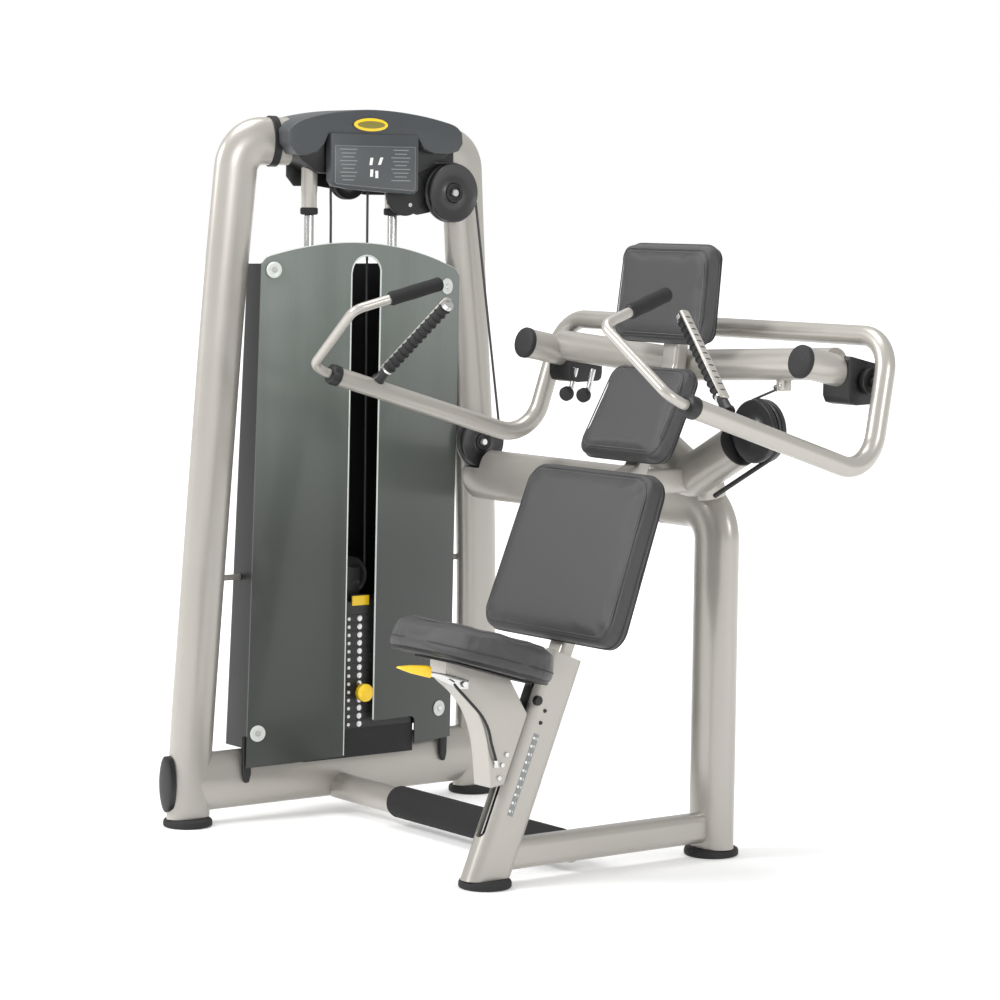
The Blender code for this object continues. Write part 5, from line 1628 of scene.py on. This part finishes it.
@dataclass
class Seat:
    """Leaning column with its slot and scale, the carriage, release lever and control cable."""

    foot: Vector = field(default_factory=lambda: Vector((0, -0.625, 0.0195)))
    lean: float = math.radians(22.3)
    width: float = 0.060
    depth: float = 0.105
    length: float = 0.500
    key_width: float = 0.030

    def __post_init__(self) -> None:
        """Work out the column's two directions."""
        self.along = Vector((0, math.sin(self.lean), math.cos(self.lean)))
        self.ahead = Vector((0, -math.cos(self.lean), math.sin(self.lean)))

    def at(self, a: float, b: float, x: float = 0.0) -> Vector:
        """Return the point a up the column, b ahead of its middle and x across."""
        return self.foot + self.along * a + self.ahead * b + Vector((x, 0, 0))

    def build(self) -> None:
        """Build every piece of the seat support."""
        self.build_column()
        self.build_scale()
        self.build_carriage()
        self.build_lever()
        self.build_cable()

    def build_column(self) -> None:
        """Column tube with a rounded slot, a black sheet on the slot's floor as painted shade for the tube's
        hollow, and two bright guide strips.
        """
        face = self.depth / 2
        tube = sweep([self.at(-0.05, 0), self.at(self.length, 0)],
                     rounded(self.width, self.depth, 0.026, 12), (1, 0, 0))
        floor = block((-0.1, -0.8, -0.1), (0.1, -0.5, 0.0195))
        half = self.key_width / 2
        hole = bmesh.new()
        ring = []
        for start, middle in ((math.pi, 0.075 + half), (0.0, 0.470 - half)):
            for i in range(17):
                angle = start + math.pi * i / 16
                ring.append((half * math.cos(angle), middle + half * math.sin(angle)))
        skin(hole, [[hole.verts.new(self.at(a, face + deep, x)) for x, a in ring]
                    for deep in (-0.0162, 0.020)])
        MAKER.place("column_tube", carved(tube, floor, hole), SATIN, "frame", ["seat_column"], sharp=38)
        # Black sheet on the slot's floor: painted shade for the hollow inside the tube.
        shade_sheet = sweep([self.at(0.078, face - 0.0158), self.at(0.467, face - 0.0158)],
                       rounded(self.key_width - 0.0004, 0.0010, 0.0004, 2), (1, 0, 0))
        MAKER.place("slot_shade_sheet", shade_sheet, BLACK, "frame")
        strips = join(rod(self.at(0.084, face - 0.0125, -0.0068), self.at(0.462, face - 0.0125, -0.0068),
                          0.0022),
                      rod(self.at(0.084, face - 0.0125, 0.0068), self.at(0.462, face - 0.0125, 0.0068),
                          0.0022))
        MAKER.place("slot_strips", strips, STEEL, "frame")

    def build_scale(self) -> None:
        """Height scale on the column's side: a pale strip with dots and numbers."""
        x = self.width / 2
        strip = sweep([self.at(0.138, 0.013, x), self.at(0.320, 0.013, x)],
                      rounded(0.0010, 0.0150, 0.0004, 2), (1, 0, 0))
        MAKER.place("scale_strip", strip, FAINT, "frame")
        out = Vector((1, 0, 0))
        discs("scale_dots", self.at(0.148, 0.0170, x + 0.0006), self.along, out, 10, 0.018, 0.0029, PRINT,
              "frame")
        for i in range(10):
            self.number(str(i + 1), self.at(0.148 + 0.018 * i, 0.0100, x + 0.0006), 0.0085)
        screws("column_screws", [self.at(0.345, 0.013, x), self.at(0.372, 0.012, x)], [out] * 2, "frame",
               0.0045, 0.0025, BLACK)

    def number(self, text: str, place: Vector, height: float) -> None:
        """Put one small number on the scale.

        Args:
            text: the number.
            place: its middle.
            height: its height.
        """
        curve = bpy.data.curves.new(f"number_{text}", 'FONT')
        curve.body = text
        curve.size = height
        curve.align_x = 'CENTER'
        curve.align_y = 'CENTER'
        curve.extrude = 0.0003
        curve.resolution_u = 3
        obj = bpy.data.objects.new("number", curve)
        bpy.context.scene.collection.objects.link(obj)
        mesh = settled(obj)
        turn = Matrix((-self.ahead, self.along, Vector((1, 0, 0)))).transposed().to_4x4()
        turn.translation = place
        mesh.transform(turn)
        MAKER.place(f"scale_number_{text}", mesh, PRINT, "frame", keep_normals=True)

    def seat_under(self, y: float) -> float:
        """Return the height of the tilted pad's underside at y."""
        return SEAT_Z - 0.0394 / math.cos(SEAT_TILT) - (y - SEAT_Y) * math.tan(SEAT_TILT)

    def build_carriage(self) -> None:
        """Gusset between pad and column, with a rounded front edge, a sliding key and bolts."""
        face = self.depth / 2 + 0.0006
        low = self.at(0.195, face)
        neck = self.at(0.352, face)
        front = flowing([(0, -0.753, 0.462), (0, -0.735, 0.444), (0, -0.706, 0.420), (0, -0.678, 0.388),
                         (0, -0.659, 0.352), (0, -0.647, 0.312), (0, -0.640, 0.262), (0, -0.6355, 0.216)], 6)
        rear = [(low.y, low.z), (neck.y, neck.z), (-0.590, self.seat_under(-0.590)),
                (-0.753, self.seat_under(-0.753))]
        outline = rear + [(p.y, p.z) for p in front]
        body = eased(prism(outline, -0.0298, 0.0298), 0.0045, 4, 40)
        key = sweep([self.at(0.237, face - 0.0100), self.at(0.410, face - 0.0100)],
                    rounded(self.key_width - 0.0014, 0.0180, 0.002, 3), (1, 0, 0))
        shoe = sweep([self.at(0.222, face + 0.003), self.at(0.375, face + 0.003)],
                     rounded(0.052, 0.0050, 0.002, 3),
                     (1, 0, 0))
        MAKER.place("carriage_gusset", body, SATIN, "seat", ["seat_carriage"], sharp=42)
        MAKER.place("carriage_key", join(key, shoe), BLACK, "seat")
        top = [Vector((0, y, self.seat_under(y) - 0.0025)) for y in (-0.760, -0.565)]
        plate = sweep(top, rounded(0.150, 0.004, 0.0015, 3), (1, 0, 0))
        MAKER.place("seat_plate", plate, BLACK_PAINT, "seat")
        out = Vector((1, 0, 0))
        places = [(0.0298, -0.6070, 0.2630), (0.0298, -0.5960, 0.2840), (0.0298, -0.6150, 0.2360)]
        screws("carriage_bolts", places, [out] * 3, "seat", 0.0058, 0.0040, STEEL)
        places = [(-0.0298, y, z) for _, y, z in places]
        screws("carriage_bolts_far", places, [-out] * 3, "seat", 0.0058, 0.0040, STEEL)
        knob = turned([(-0.001, 0.0060), (0.002, 0.0060), (0.0025, 0.0085), (0.004, 0.0105), (0.012, 0.0105),
                       (0.0145, 0.0090), (0.0152, 0.003)], (0.0300, -0.521, 0.3935), out, 40)
        MAKER.place("column_knob", knob, BLACK, "frame")

    def build_lever(self) -> None:
        """Release lever: bright arm on its pivot with a tapered yellow tip."""
        arm = eased(prism([(-0.728, 0.4345), (-0.703, 0.4325), (-0.702, 0.4515), (-0.760, 0.4690),
                           (-0.815, 0.4800),
                           (-0.815, 0.4715), (-0.790, 0.4640)], 0.0322, 0.0398), 0.0012, 2)
        MAKER.place("release_arm", arm, STEEL, "seat_release")
        tip = eased(prism([(-0.802, 0.4640), (-0.799, 0.4860), (-0.806, 0.4895), (-0.845, 0.4925),
                           (-0.8760, 0.4925),
                           (-0.8790, 0.4895), (-0.845, 0.4760)], 0.0270, 0.0450), 0.0035, 4)
        MAKER.place("release_tip", tip, YELLOW, "seat_release", ["seat_lever"])
        screws("release_pivot", [(0.0415, -0.715, 0.444)], [(1, 0, 0)], "seat", 0.0068, 0.0030)

    def build_cable(self) -> None:
        """Control cable clipped at both ends to the carriage, from the release lever to the lock."""
        x = 0.0385
        line = flowing([(0.036, -0.752, 0.4560), (x, -0.742, 0.4480), (x, -0.722, 0.4280),
                        (x, -0.694, 0.4010),
                        (x, -0.668, 0.3740), (x, -0.650, 0.3440), (x, -0.6410, 0.3120), (x, -0.6320, 0.2860),
                        (0.0355, -0.6240, 0.2640)], 8)
        MAKER.place("control_cable", sweep(line, oval(0.0064, 0.0064, 18), (1, 0, 0)), BLACK, "seat")
        for word, a, b in (("top", line[0], line[6]), ("foot", line[-1], line[-7])):
            along = (b - a).normalized()
            ferrule = rod(a - along * 0.004, a + along * 0.014, 0.0046, 0.0008, 28)
            clip = eased(block((0.0285, a.y - 0.006, a.z - 0.005), (a.x + 0.001, a.y + 0.006, a.z + 0.005)),
                         0.001, 2)
            MAKER.place(f"cable_ferrule_{word}", join(ferrule, clip), STEEL, "seat")


# ---------------------------------------------------------------- pads

BACK_HELD = 0.012
BACK_FIXED = 0.006
CLOTH_STEPS = 20
SEAM_POINTS = 160
STITCH_GAP = 0.0055
DISH_FALL = 1.4


@dataclass
class Pad:
    """A foam pad under sewn vinyl: blown up by cloth simulation on its board.

    The pad is made lying down, foot edge at y = 0 and back on z = 0, and then stood in place.
    """

    node: str
    rider: str
    low_width: float
    high_width: float
    length: float
    thickness: float
    corner: float
    place: Matrix
    fill: float = 0.8
    cap: float = 0.006
    voxel: float = 0.0055
    seam_inset: float = 0.014
    board: bool = True
    dish: float = 0.0

    def outline(self, inset: float, steps: int = 9) -> list[tuple[float, float]]:
        """Return the pad's outline, moved in by an inset."""
        reach = max(self.corner - inset * 0.6, 0.010)
        section = rounded(1.0, self.length - 2 * inset, reach, steps)
        points = []
        for a, b in section:
            share = (b + self.length / 2) / self.length
            width = self.low_width + (self.high_width - self.low_width) * share - 2 * inset
            side = math.copysign(1.0, a)
            points.append((side * (width / 2 - reach) + (a - side * (0.5 - reach)), b + self.length / 2))
        return points

    def blank(self) -> bmesh.types.BMesh:
        """Return the foam before it is covered, a little smaller than the finished pad."""
        t = self.thickness
        layers = ((0.004, 0.006), (0.0012, 0.010), (0.0008, t * 0.45), (0.0008, t * 0.74), (0.0028, t * 0.86),
                  (0.0072, t * 0.935), (0.0135, t * 0.970), (0.0230, t * 0.982))
        return self.layered(layers)

    def layered(self, layers: Sequence[tuple[float, float]]) -> bmesh.types.BMesh:
        """Return a body through the pad's outline at each (inset, height)."""
        bm = bmesh.new()
        skin(bm, [[bm.verts.new((x, y, z)) for x, y in self.outline(inset)] for inset, z in layers])
        return bm

    def covered(self) -> bpy.types.Mesh:
        """Return the cover's mesh: remeshed, blown up as cloth, held at its back and smoothed."""
        obj = as_mesh(self.blank(), self.node + "_foam")
        remesh = obj.modifiers.new("even", 'REMESH')
        remesh.mode = 'VOXEL'
        remesh.voxel_size = self.voxel
        mesh = settled(obj)
        obj = bpy.data.objects.new(self.node + "_cover", mesh)
        bpy.context.scene.collection.objects.link(obj)
        self.blow_up(obj)
        soft = obj.modifiers.new("soft", 'SMOOTH')
        soft.factor = 0.5
        soft.iterations = 8
        finer = obj.modifiers.new("finer", 'SUBSURF')
        finer.levels = 1
        finer.render_levels = 1
        return settled(obj)

    def blow_up(self, obj: bpy.types.Object) -> None:
        """Run the cloth simulation and write its capped result into the mesh.

        Args:
            obj: the remeshed foam.
        """
        rest = [v.co.copy() for v in obj.data.vertices]
        held = obj.vertex_groups.new(name="held")
        back = [i for i, co in enumerate(rest) if co.z < BACK_HELD]
        held.add(back, 1.0, 'REPLACE')
        cloth = obj.modifiers.new("cover", 'CLOTH')
        cloth.settings.quality = 4
        cloth.settings.use_pressure = True
        cloth.settings.uniform_pressure_force = 4.0
        cloth.settings.vertex_group_mass = "held"
        cloth.settings.effector_weights.gravity = 0.0
        cloth.point_cache.frame_start = 1
        cloth.point_cache.frame_end = CLOTH_STEPS + 2
        scene = bpy.context.scene
        for step in range(1, CLOTH_STEPS + 1):
            scene.frame_set(step)
        graph = bpy.context.evaluated_depsgraph_get()
        result = bpy.data.meshes.new_from_object(obj.evaluated_get(graph))
        for vert, start, grown in zip(obj.data.vertices, rest, result.vertices):
            move = grown.co - start
            if move.length > self.cap:
                move = move * (self.cap / move.length)
            vert.co = start + move
        obj.modifiers.remove(cloth)
        bpy.data.meshes.remove(result)
        scene.frame_set(1)

    def fit(self, mesh: bpy.types.Mesh) -> None:
        """Press the cover's outside back inside the pad's own size, and dish its top.

        Args:
            mesh: the cover's mesh, lying down.
        """
        half_length = self.length / 2
        top = max(v.co.z for v in mesh.vertices)
        wide = max(abs(v.co.x) for v in mesh.vertices)
        widest = max(self.low_width, self.high_width) / 2
        shrink = min(1.0, widest / wide) if wide > 0 else 1.0
        reach = max(abs(v.co.y - half_length) for v in mesh.vertices)
        squeeze = min(1.0, half_length / reach)
        tall = (self.thickness - BACK_FIXED) / max(1e-6, top - BACK_FIXED)
        for vert in mesh.vertices:
            vert.co.x *= shrink
            vert.co.y = half_length + (vert.co.y - half_length) * squeeze
            vert.co.z = BACK_FIXED + (vert.co.z - BACK_FIXED) * tall
            if self.dish and vert.co.z > self.thickness * 0.5:
                u = vert.co.x / widest
                w = (vert.co.y - half_length) / half_length
                vert.co.z -= self.dish * max(0.0, 1 - DISH_FALL * (u * u + w * w))

    def build(self) -> bpy.types.Object:
        """Build the cover, seam, stitches and board.

        Returns:
            The cover.
        """
        mesh = self.covered()
        self.fit(mesh)
        bm = bmesh.new()
        bm.from_mesh(mesh)
        tree = BVHTree.FromBMesh(bm)
        bm.free()
        front = self.laid_on(tree, self.seam_inset)
        if front:
            self.sew(tree, front)
        sides = self.side_line(tree, self.thickness * 0.34)
        self.trim("welt", sides, 0.0017, SIDE_VINYL)
        if self.board:
            self.build_board()
        mesh.transform(self.place)
        cover = MAKER.place(self.node + "_cover", mesh, VINYL, self.rider, [self.node], sharp=80)
        return cover

    def laid_on(self, tree: BVHTree, inset: float) -> list[Vector]:
        """Return a closed line that lies on the pad's front at an inset from its outline."""
        line = []
        for x, y in self.outline(inset, 14):
            hit = tree.ray_cast(Vector((x, y, self.thickness + 0.05)), Vector((0, 0, -1)))
            if hit[0] is not None:
                line.append(hit[0] + hit[1] * 0.0003)
        return self.evened(line)

    def side_line(self, tree: BVHTree, height: float) -> list[Vector]:
        """Return a closed line round the pad's side at a height above its back."""
        line = []
        middle = Vector((0, self.length / 2, height))
        for x, y in self.outline(-0.040, 14):
            start = Vector((x, y, height))
            hit = tree.ray_cast(start, (middle - start).normalized())
            if hit[0] is not None:
                line.append(hit[0])
        return self.evened(line)

    @staticmethod
    def evened(line: list[Vector]) -> list[Vector]:
        """Return the closed line with evenly spaced points."""
        count = len(line)
        if count < 8:
            return []
        lengths = [(line[(i + 1) % count] - line[i]).length for i in range(count)]
        total = sum(lengths)
        points = []
        i = 0
        passed = 0.0
        for k in range(SEAM_POINTS):
            goal = total * k / SEAM_POINTS
            while passed + lengths[i] < goal and i < count - 1:
                passed += lengths[i]
                i += 1
            share = (goal - passed) / max(1e-9, lengths[i])
            points.append(line[i].lerp(line[(i + 1) % count], min(1.0, share)))
        return points

    def trim(self, label: str, line: list[Vector], radius: float, finish: Finish) -> None:
        """Lay a welt along a closed line.

        Args:
            label: end of the piece's name.
            line: the closed line.
            radius: radius of the welt.
            finish: its finish.
        """
        if not line:
            return
        body = sweep(line, oval(2 * radius, 2 * radius, 10), (0, 0, 1), closed=True)
        bmesh.ops.transform(body, matrix=self.place, verts=body.verts)
        MAKER.place(f"{self.node}_{label}", body, finish, self.rider)

    def sew(self, tree: BVHTree, line: list[Vector]) -> None:
        """Add the seam and a row of stitches beside it.

        Args:
            tree: the cover's surface.
            line: the seam on the pad's front.
        """
        self.trim("seam", line, 0.0012, VINYL)
        row = self.laid_on(tree, self.seam_inset + STITCH_GAP)
        if row:
            mesh = REPEATS.grow("stitches", line_mesh(row, True), THREAD)
            mesh.transform(self.place)
            MAKER.place(f"{self.node}_stitches", mesh, THREAD, self.rider)

    def build_board(self) -> None:
        """Black board behind the foam and the four screws that hold it."""
        bm = self.layered(((0.0085, 0.0003), (0.0065, 0.0020), (0.0065, 0.0072)))
        bmesh.ops.transform(bm, matrix=self.place, verts=bm.verts)
        MAKER.place(f"{self.node}_board", bm, BLACK, self.rider)
        turn = self.place.to_3x3()
        middle = self.length * 0.5
        places = [self.place @ Vector((sx * 0.048, middle + sy * self.length * 0.22, 0.0010))
                  for sx in (-1, 1) for sy in (-1, 1)]
        screws(f"{self.node}_screws", places, [turn @ Vector((0, 0, -1))] * 4, self.rider, 0.0052, 0.0030)


def standing(y: float, z: float, lean: float, thickness: float) -> Matrix:
    """Return the matrix that stands a pad up.

    Args:
        y: y of the middle of its front foot edge.
        z: height of that edge.
        lean: how far it leans back.
        thickness: the pad's thickness.
    Returns:
        The matrix.
    """
    up = Vector((0, math.sin(lean), math.cos(lean)))
    out = Vector((0, -math.cos(lean), math.sin(lean)))
    matrix = Matrix((Vector((1, 0, 0)), up, out)).transposed().to_4x4()
    matrix.translation = Vector((0, y, z)) - out * thickness
    return matrix


def build_pads() -> None:
    """Build the three back pads and the seat."""
    for node, low, high, length, thick, y, z, lean, corner, inset in (
            ("lower_back_pad", 0.464, 0.436, 0.388, 0.052, -0.4944, 0.5225, 20.5, 0.050, 0.017),
            ("upper_back_pad", 0.292, 0.268, 0.222, 0.046, -0.298, 0.902, 27.0, 0.034, 0.014),
            ("head_pad", 0.318, 0.308, 0.216, 0.046, -0.190, 1.142, 6.5, 0.032, 0.014)):
        place = standing(y, z, math.radians(lean), thick)
        Pad(node, "frame", low, high, length, thick, corner, place, seam_inset=inset).build()
    length = 0.308
    thick = 0.078
    place = Matrix.Rotation(-SEAT_TILT, 4, 'X')
    place.translation = Vector((0, SEAT_Y, SEAT_Z)) + place.to_3x3() @ Vector((0, -length / 2, -thick / 2))
    Pad("seat_pad", "seat", 0.378, 0.357, length, thick, 0.142, place, fill=0.75, seam_inset=0.024,
        dish=0.006, voxel=0.006).build()


# ---------------------------------------------------------------- press lever

@dataclass
class Lever:
    """U-shaped lever with handles, foam grips, ribbed grips and collars."""

    radius: float = 0.021
    bend_radius: float = 0.085
    arm_end: tuple = (0.618, -0.610, 1.051)
    arm_low: tuple = (0.572, -0.085, 0.890)
    arm_top: tuple = (0.545, -0.010, 1.172)
    handle: tuple = ((0.616, -0.659, 1.073), (0.434, -0.676, 1.201), (0.390, -0.483, 1.257))
    handle_radius: float = 0.0105
    grip_radius: float = 0.0158
    rib_low: tuple = (0.572, -0.488, 1.063)
    rib_top: tuple = (0.400, -0.446, 1.215)
    rib_radius: float = 0.0130

    def build(self) -> None:
        """Build the tube and what stands at each arm's end."""
        ends = [self.arm_end, self.arm_low, self.arm_top]
        corners = ends + [(-x, y, z) for x, y, z in reversed(ends)]
        path = bend(corners, self.bend_radius, 22)
        size = 2 * self.radius
        MAKER.place("lever_bar", sweep(path, oval(size, size, 56), (1, 0, 0)), SATIN, "lever", ["lever_tube"])
        for side, word in ((-1, "left"), (1, "right")):
            self.build_handle(side, word)
            self.build_ribbed_grip(side, word)
            hub = turned([(-0.001, 0.0265), (0.002, 0.0280), (0.012, 0.0280), (0.014, 0.0265)],
                         (side * 0.510, -0.0345, 1.080), (side, 0, 0), 56)
            MAKER.place(f"hub_plate_{word}", hub, BLACK_PAINT, "lever")

    def flipped(self, point: Sequence[float], side: int) -> Vector:
        """Return the point on the given side of the machine."""
        return Vector((side * point[0], point[1], point[2]))

    def build_handle(self, side: int, word: str) -> None:
        """Thin bent handle with its foam grip, rounded at its end, and the collar on the arm."""
        end = self.flipped(self.arm_end, side)
        ahead = (end - self.flipped(self.arm_low, side)).normalized()
        corners = [self.flipped(p, side) for p in self.handle]
        path = bend([end - ahead * 0.004, end + ahead * 0.018] + corners, 0.030, 12)
        size = 2 * self.handle_radius
        MAKER.place(f"handle_bar_{word}", sweep(path, oval(size, size, 40), (0, 0, 1)), SATIN, "lever",
                    [f"handle_{word}"])
        collar = turned([(-0.0180, self.radius + 0.0008), (-0.0172, self.radius + 0.0022),
                         (-0.0010, self.radius + 0.0024),
                         (0.0040, self.radius + 0.0010), (0.0062, self.radius - 0.0030),
                         (0.0068, self.handle_radius)],
                        end, ahead, 56)
        MAKER.place(f"arm_collar_{word}", collar, BLACK, "lever")
        a, b = corners[1], corners[2]
        along = b - a
        length = along.length
        start = a + along * 0.42
        grip_length = 0.58 * length
        r = self.grip_radius
        profile = [(0.0, r - 0.0045), (0.0015, r - 0.0015), (0.005, r), (0.03, r - 0.0006),
                   (grip_length * 0.5, r + 0.0002),
                   (grip_length - 0.020, r - 0.0005), (grip_length, r), (grip_length + 0.005, r - 0.001),
                   (grip_length + 0.0085, r - 0.005), (grip_length + 0.0095, r - 0.010)]
        MAKER.place(f"foam_grip_{word}", turned(profile, start, along, 48), FOAM, "lever")
        rings(f"grip_ring_{word}", start + along.normalized() * 0.001, along, 1, 0.01,
              self.handle_radius + 0.0018,
              0.0016, BLACK, "lever")

    def build_ribbed_grip(self, side: int, word: str) -> None:
        """Second grip: bright back bar with a ribbed rubber face and bright end pieces."""
        low = self.flipped(self.rib_low, side)
        top = self.flipped(self.rib_top, side)
        along = (top - low).normalized()
        length = (top - low).length
        r = self.rib_radius
        core = turned([(-0.048, 0.0078), (-0.004, 0.0078), (-0.002, r - 0.002), (0.0, r - 0.001),
                       (length - 0.010, r - 0.001), (length - 0.008, r - 0.003)], low, along, 48)
        MAKER.place(f"rib_core_{word}", core, RUBBER, "lever", [f"ribbed_grip_{word}"])
        count = 13
        pitch = (length - 0.024) / (count - 1)
        rings(f"rib_rings_{word}", low + along * 0.006, along, count, pitch, r - 0.0005, 0.0028, RUBBER,
              "lever")
        for name, a, b in (("foot", -0.006, 0.002), ("head", length - 0.013, length)):
            cap = turned([(a, r - 0.003), (a + 0.0012, r + 0.0005), (b - 0.0012, r + 0.0005), (b, r - 0.003)],
                         low, along, 48)
            MAKER.place(f"rib_cap_{name}_{word}", cap, STEEL, "lever")
        outward = Vector((side * 0.72, 0.0, 0.69))
        outward = (outward - along * outward.dot(along)).normalized()
        shift = outward * (r - 0.0030)
        path = [low + shift - along * 0.010, top + shift + along * 0.001]
        bar = sweep(path, oval(0.0090, 0.0230, 32), outward, dome=0.004)
        MAKER.place(f"rib_bar_{word}", bar, SATIN, "lever")
        stem_foot = low - along * 0.044
        stem = turned([(0.0, 0.0150), (0.006, 0.0150), (0.012, 0.0120), (0.040, 0.0105)], stem_foot, along,
                      48)
        MAKER.place(f"rib_stem_{word}", stem, BLACK, "lever")


# ---------------------------------------------------------------- studio

@dataclass
class Studio:
    """White floor, soft lights and the camera."""

    lens: float = 115.75
    azimuth: float = math.radians(53.2185)
    elevation: float = math.radians(5.2647)
    roll: float = math.radians(0.7103)
    station: Vector = field(default_factory=lambda: Vector((5.360, -4.605, 1.435)))
    surround: float = 0.62
    floor_glow: float = 0.22

    def build(self) -> None:
        """Build the floor, the lights and the camera."""
        self.build_floor()
        self.build_lights()
        self.build_camera()

    def build_floor(self) -> None:
        """Large pale flat floor whose glow grows away from the machine, so it fades into the white surround
        while the cast shadows near the machine stay.
        """
        bm = bmesh.new()
        bmesh.ops.create_grid(bm, x_segments=2, y_segments=2, size=60.0)
        mesh = bpy.data.meshes.new("floor")
        bm.to_mesh(mesh)
        bm.free()
        mat = bpy.data.materials.new("white_floor")
        mat.use_nodes = True
        shader = mat.node_tree.nodes["Principled BSDF"]
        shader.inputs["Base Color"].default_value = (0.90, 0.90, 0.90, 1.0)
        shader.inputs["Roughness"].default_value = 0.9
        shader.inputs["Specular IOR Level"].default_value = 0.1
        shader.inputs["Emission Color"].default_value = (1.0, 1.0, 1.0, 1.0)
        g = Graph(mat.node_tree)
        place = g.add("ShaderNodeTexCoord")
        reach = g.add("ShaderNodeVectorMath", {0: (place, "Object")}, operation='LENGTH')
        glow = g.add("ShaderNodeMapRange", {"Value": (reach, "Value"), "From Min": 1.6, "From Max": 4.5,
                                            "To Min": self.floor_glow, "To Max": 0.75},
                     interpolation_type='SMOOTHSTEP')
        g.tree.links.new(glow.outputs["Result"], shader.inputs["Emission Strength"])
        mesh.materials.append(mat)
        floor = bpy.data.objects.new("floor", mesh)
        bpy.context.scene.collection.objects.link(floor)

    def build_lights(self) -> None:
        """Bright surround, a large key from the left front and softer lights round it."""
        world = bpy.data.worlds.new("studio")
        world.use_nodes = True
        g = Graph(world.node_tree)
        surround = world.node_tree.nodes["Background"]
        surround.inputs["Color"].default_value = (1.0, 1.0, 1.0, 1.0)
        rays = g.add("ShaderNodeLightPath")
        strength = g.add("ShaderNodeMapRange", {"Value": (rays, "Is Camera Ray"), "To Min": self.surround,
                                                "To Max": 1.0})
        g.tree.links.new(strength.outputs["Result"], surround.inputs["Strength"])
        bpy.context.scene.world = world
        bpy.context.scene.view_settings.view_transform = 'Standard'
        aim = Vector((-0.25, -0.1, 0.8))
        for name, place, size, power in (("key", (-1.2, -4.2, 3.6), 1.8, 190.0),
                                         ("side", (4.6, 0.2, 2.6), 1.4, 60.0),
                                         ("top", (-0.3, -0.2, 4.6), 2.4, 80.0)):
            light = bpy.data.lights.new(name, 'AREA')
            light.shape = 'SQUARE'
            light.size = size
            light.energy = power
            obj = bpy.data.objects.new(name, light)
            obj.matrix_world = turned_to(Vector(place) - aim, place)
            bpy.context.scene.collection.objects.link(obj)

    def build_camera(self) -> None:
        """Long-lens camera at the front right of the machine."""
        a, e, r = self.azimuth, self.elevation, self.roll
        right = Vector((math.cos(a), math.sin(a), 0.0))
        back = Vector((math.sin(a) * math.cos(e), -math.cos(a) * math.cos(e), math.sin(e)))
        up = back.cross(right)
        camera_right = right * math.cos(r) + up * math.sin(r)
        camera_up = up * math.cos(r) - right * math.sin(r)
        data = bpy.data.cameras.new("camera")
        data.lens = self.lens
        data.sensor_width = 36.0
        data.clip_end = 200.0
        camera = bpy.data.objects.new("camera", data)
        matrix = Matrix((camera_right, camera_up, back)).transposed().to_4x4()
        matrix.translation = self.station + ORIGIN
        camera.matrix_world = matrix
        bpy.context.scene.collection.objects.link(camera)
        bpy.context.scene.camera = camera


def main() -> None:
    """Build the machine piece by piece."""
    logging.basicConfig(level=logging.INFO, format="%(name)s: %(message)s")
    EFFECTS.prepare()
    Studio().build()
    parts: Sequence[Callable[[], None]] = (
        Tower().build, Head().build, Shroud().build, Stack().build, SeatFrame().build, Seat().build,
        Lever().build,
        build_pads, Cables().build)
    for part in parts:
        part()
    for wheel in (Wheel("head_pulley_big", "big_wheel"), Wheel("head_pulley_front", "front_wheel"),
                  Wheel("side_pulley", "side_wheel"),
                  Wheel("floating_pulley", "floating_wheel", bolt_rider="stack"),
                  Wheel("fork_pulley", "fork_wheel", axis=(0, 1, 0), out=-1)):
        wheel.build()
    LOG.info("%d pieces placed", MAKER.count)


if __name__ == "__main__":
    main()
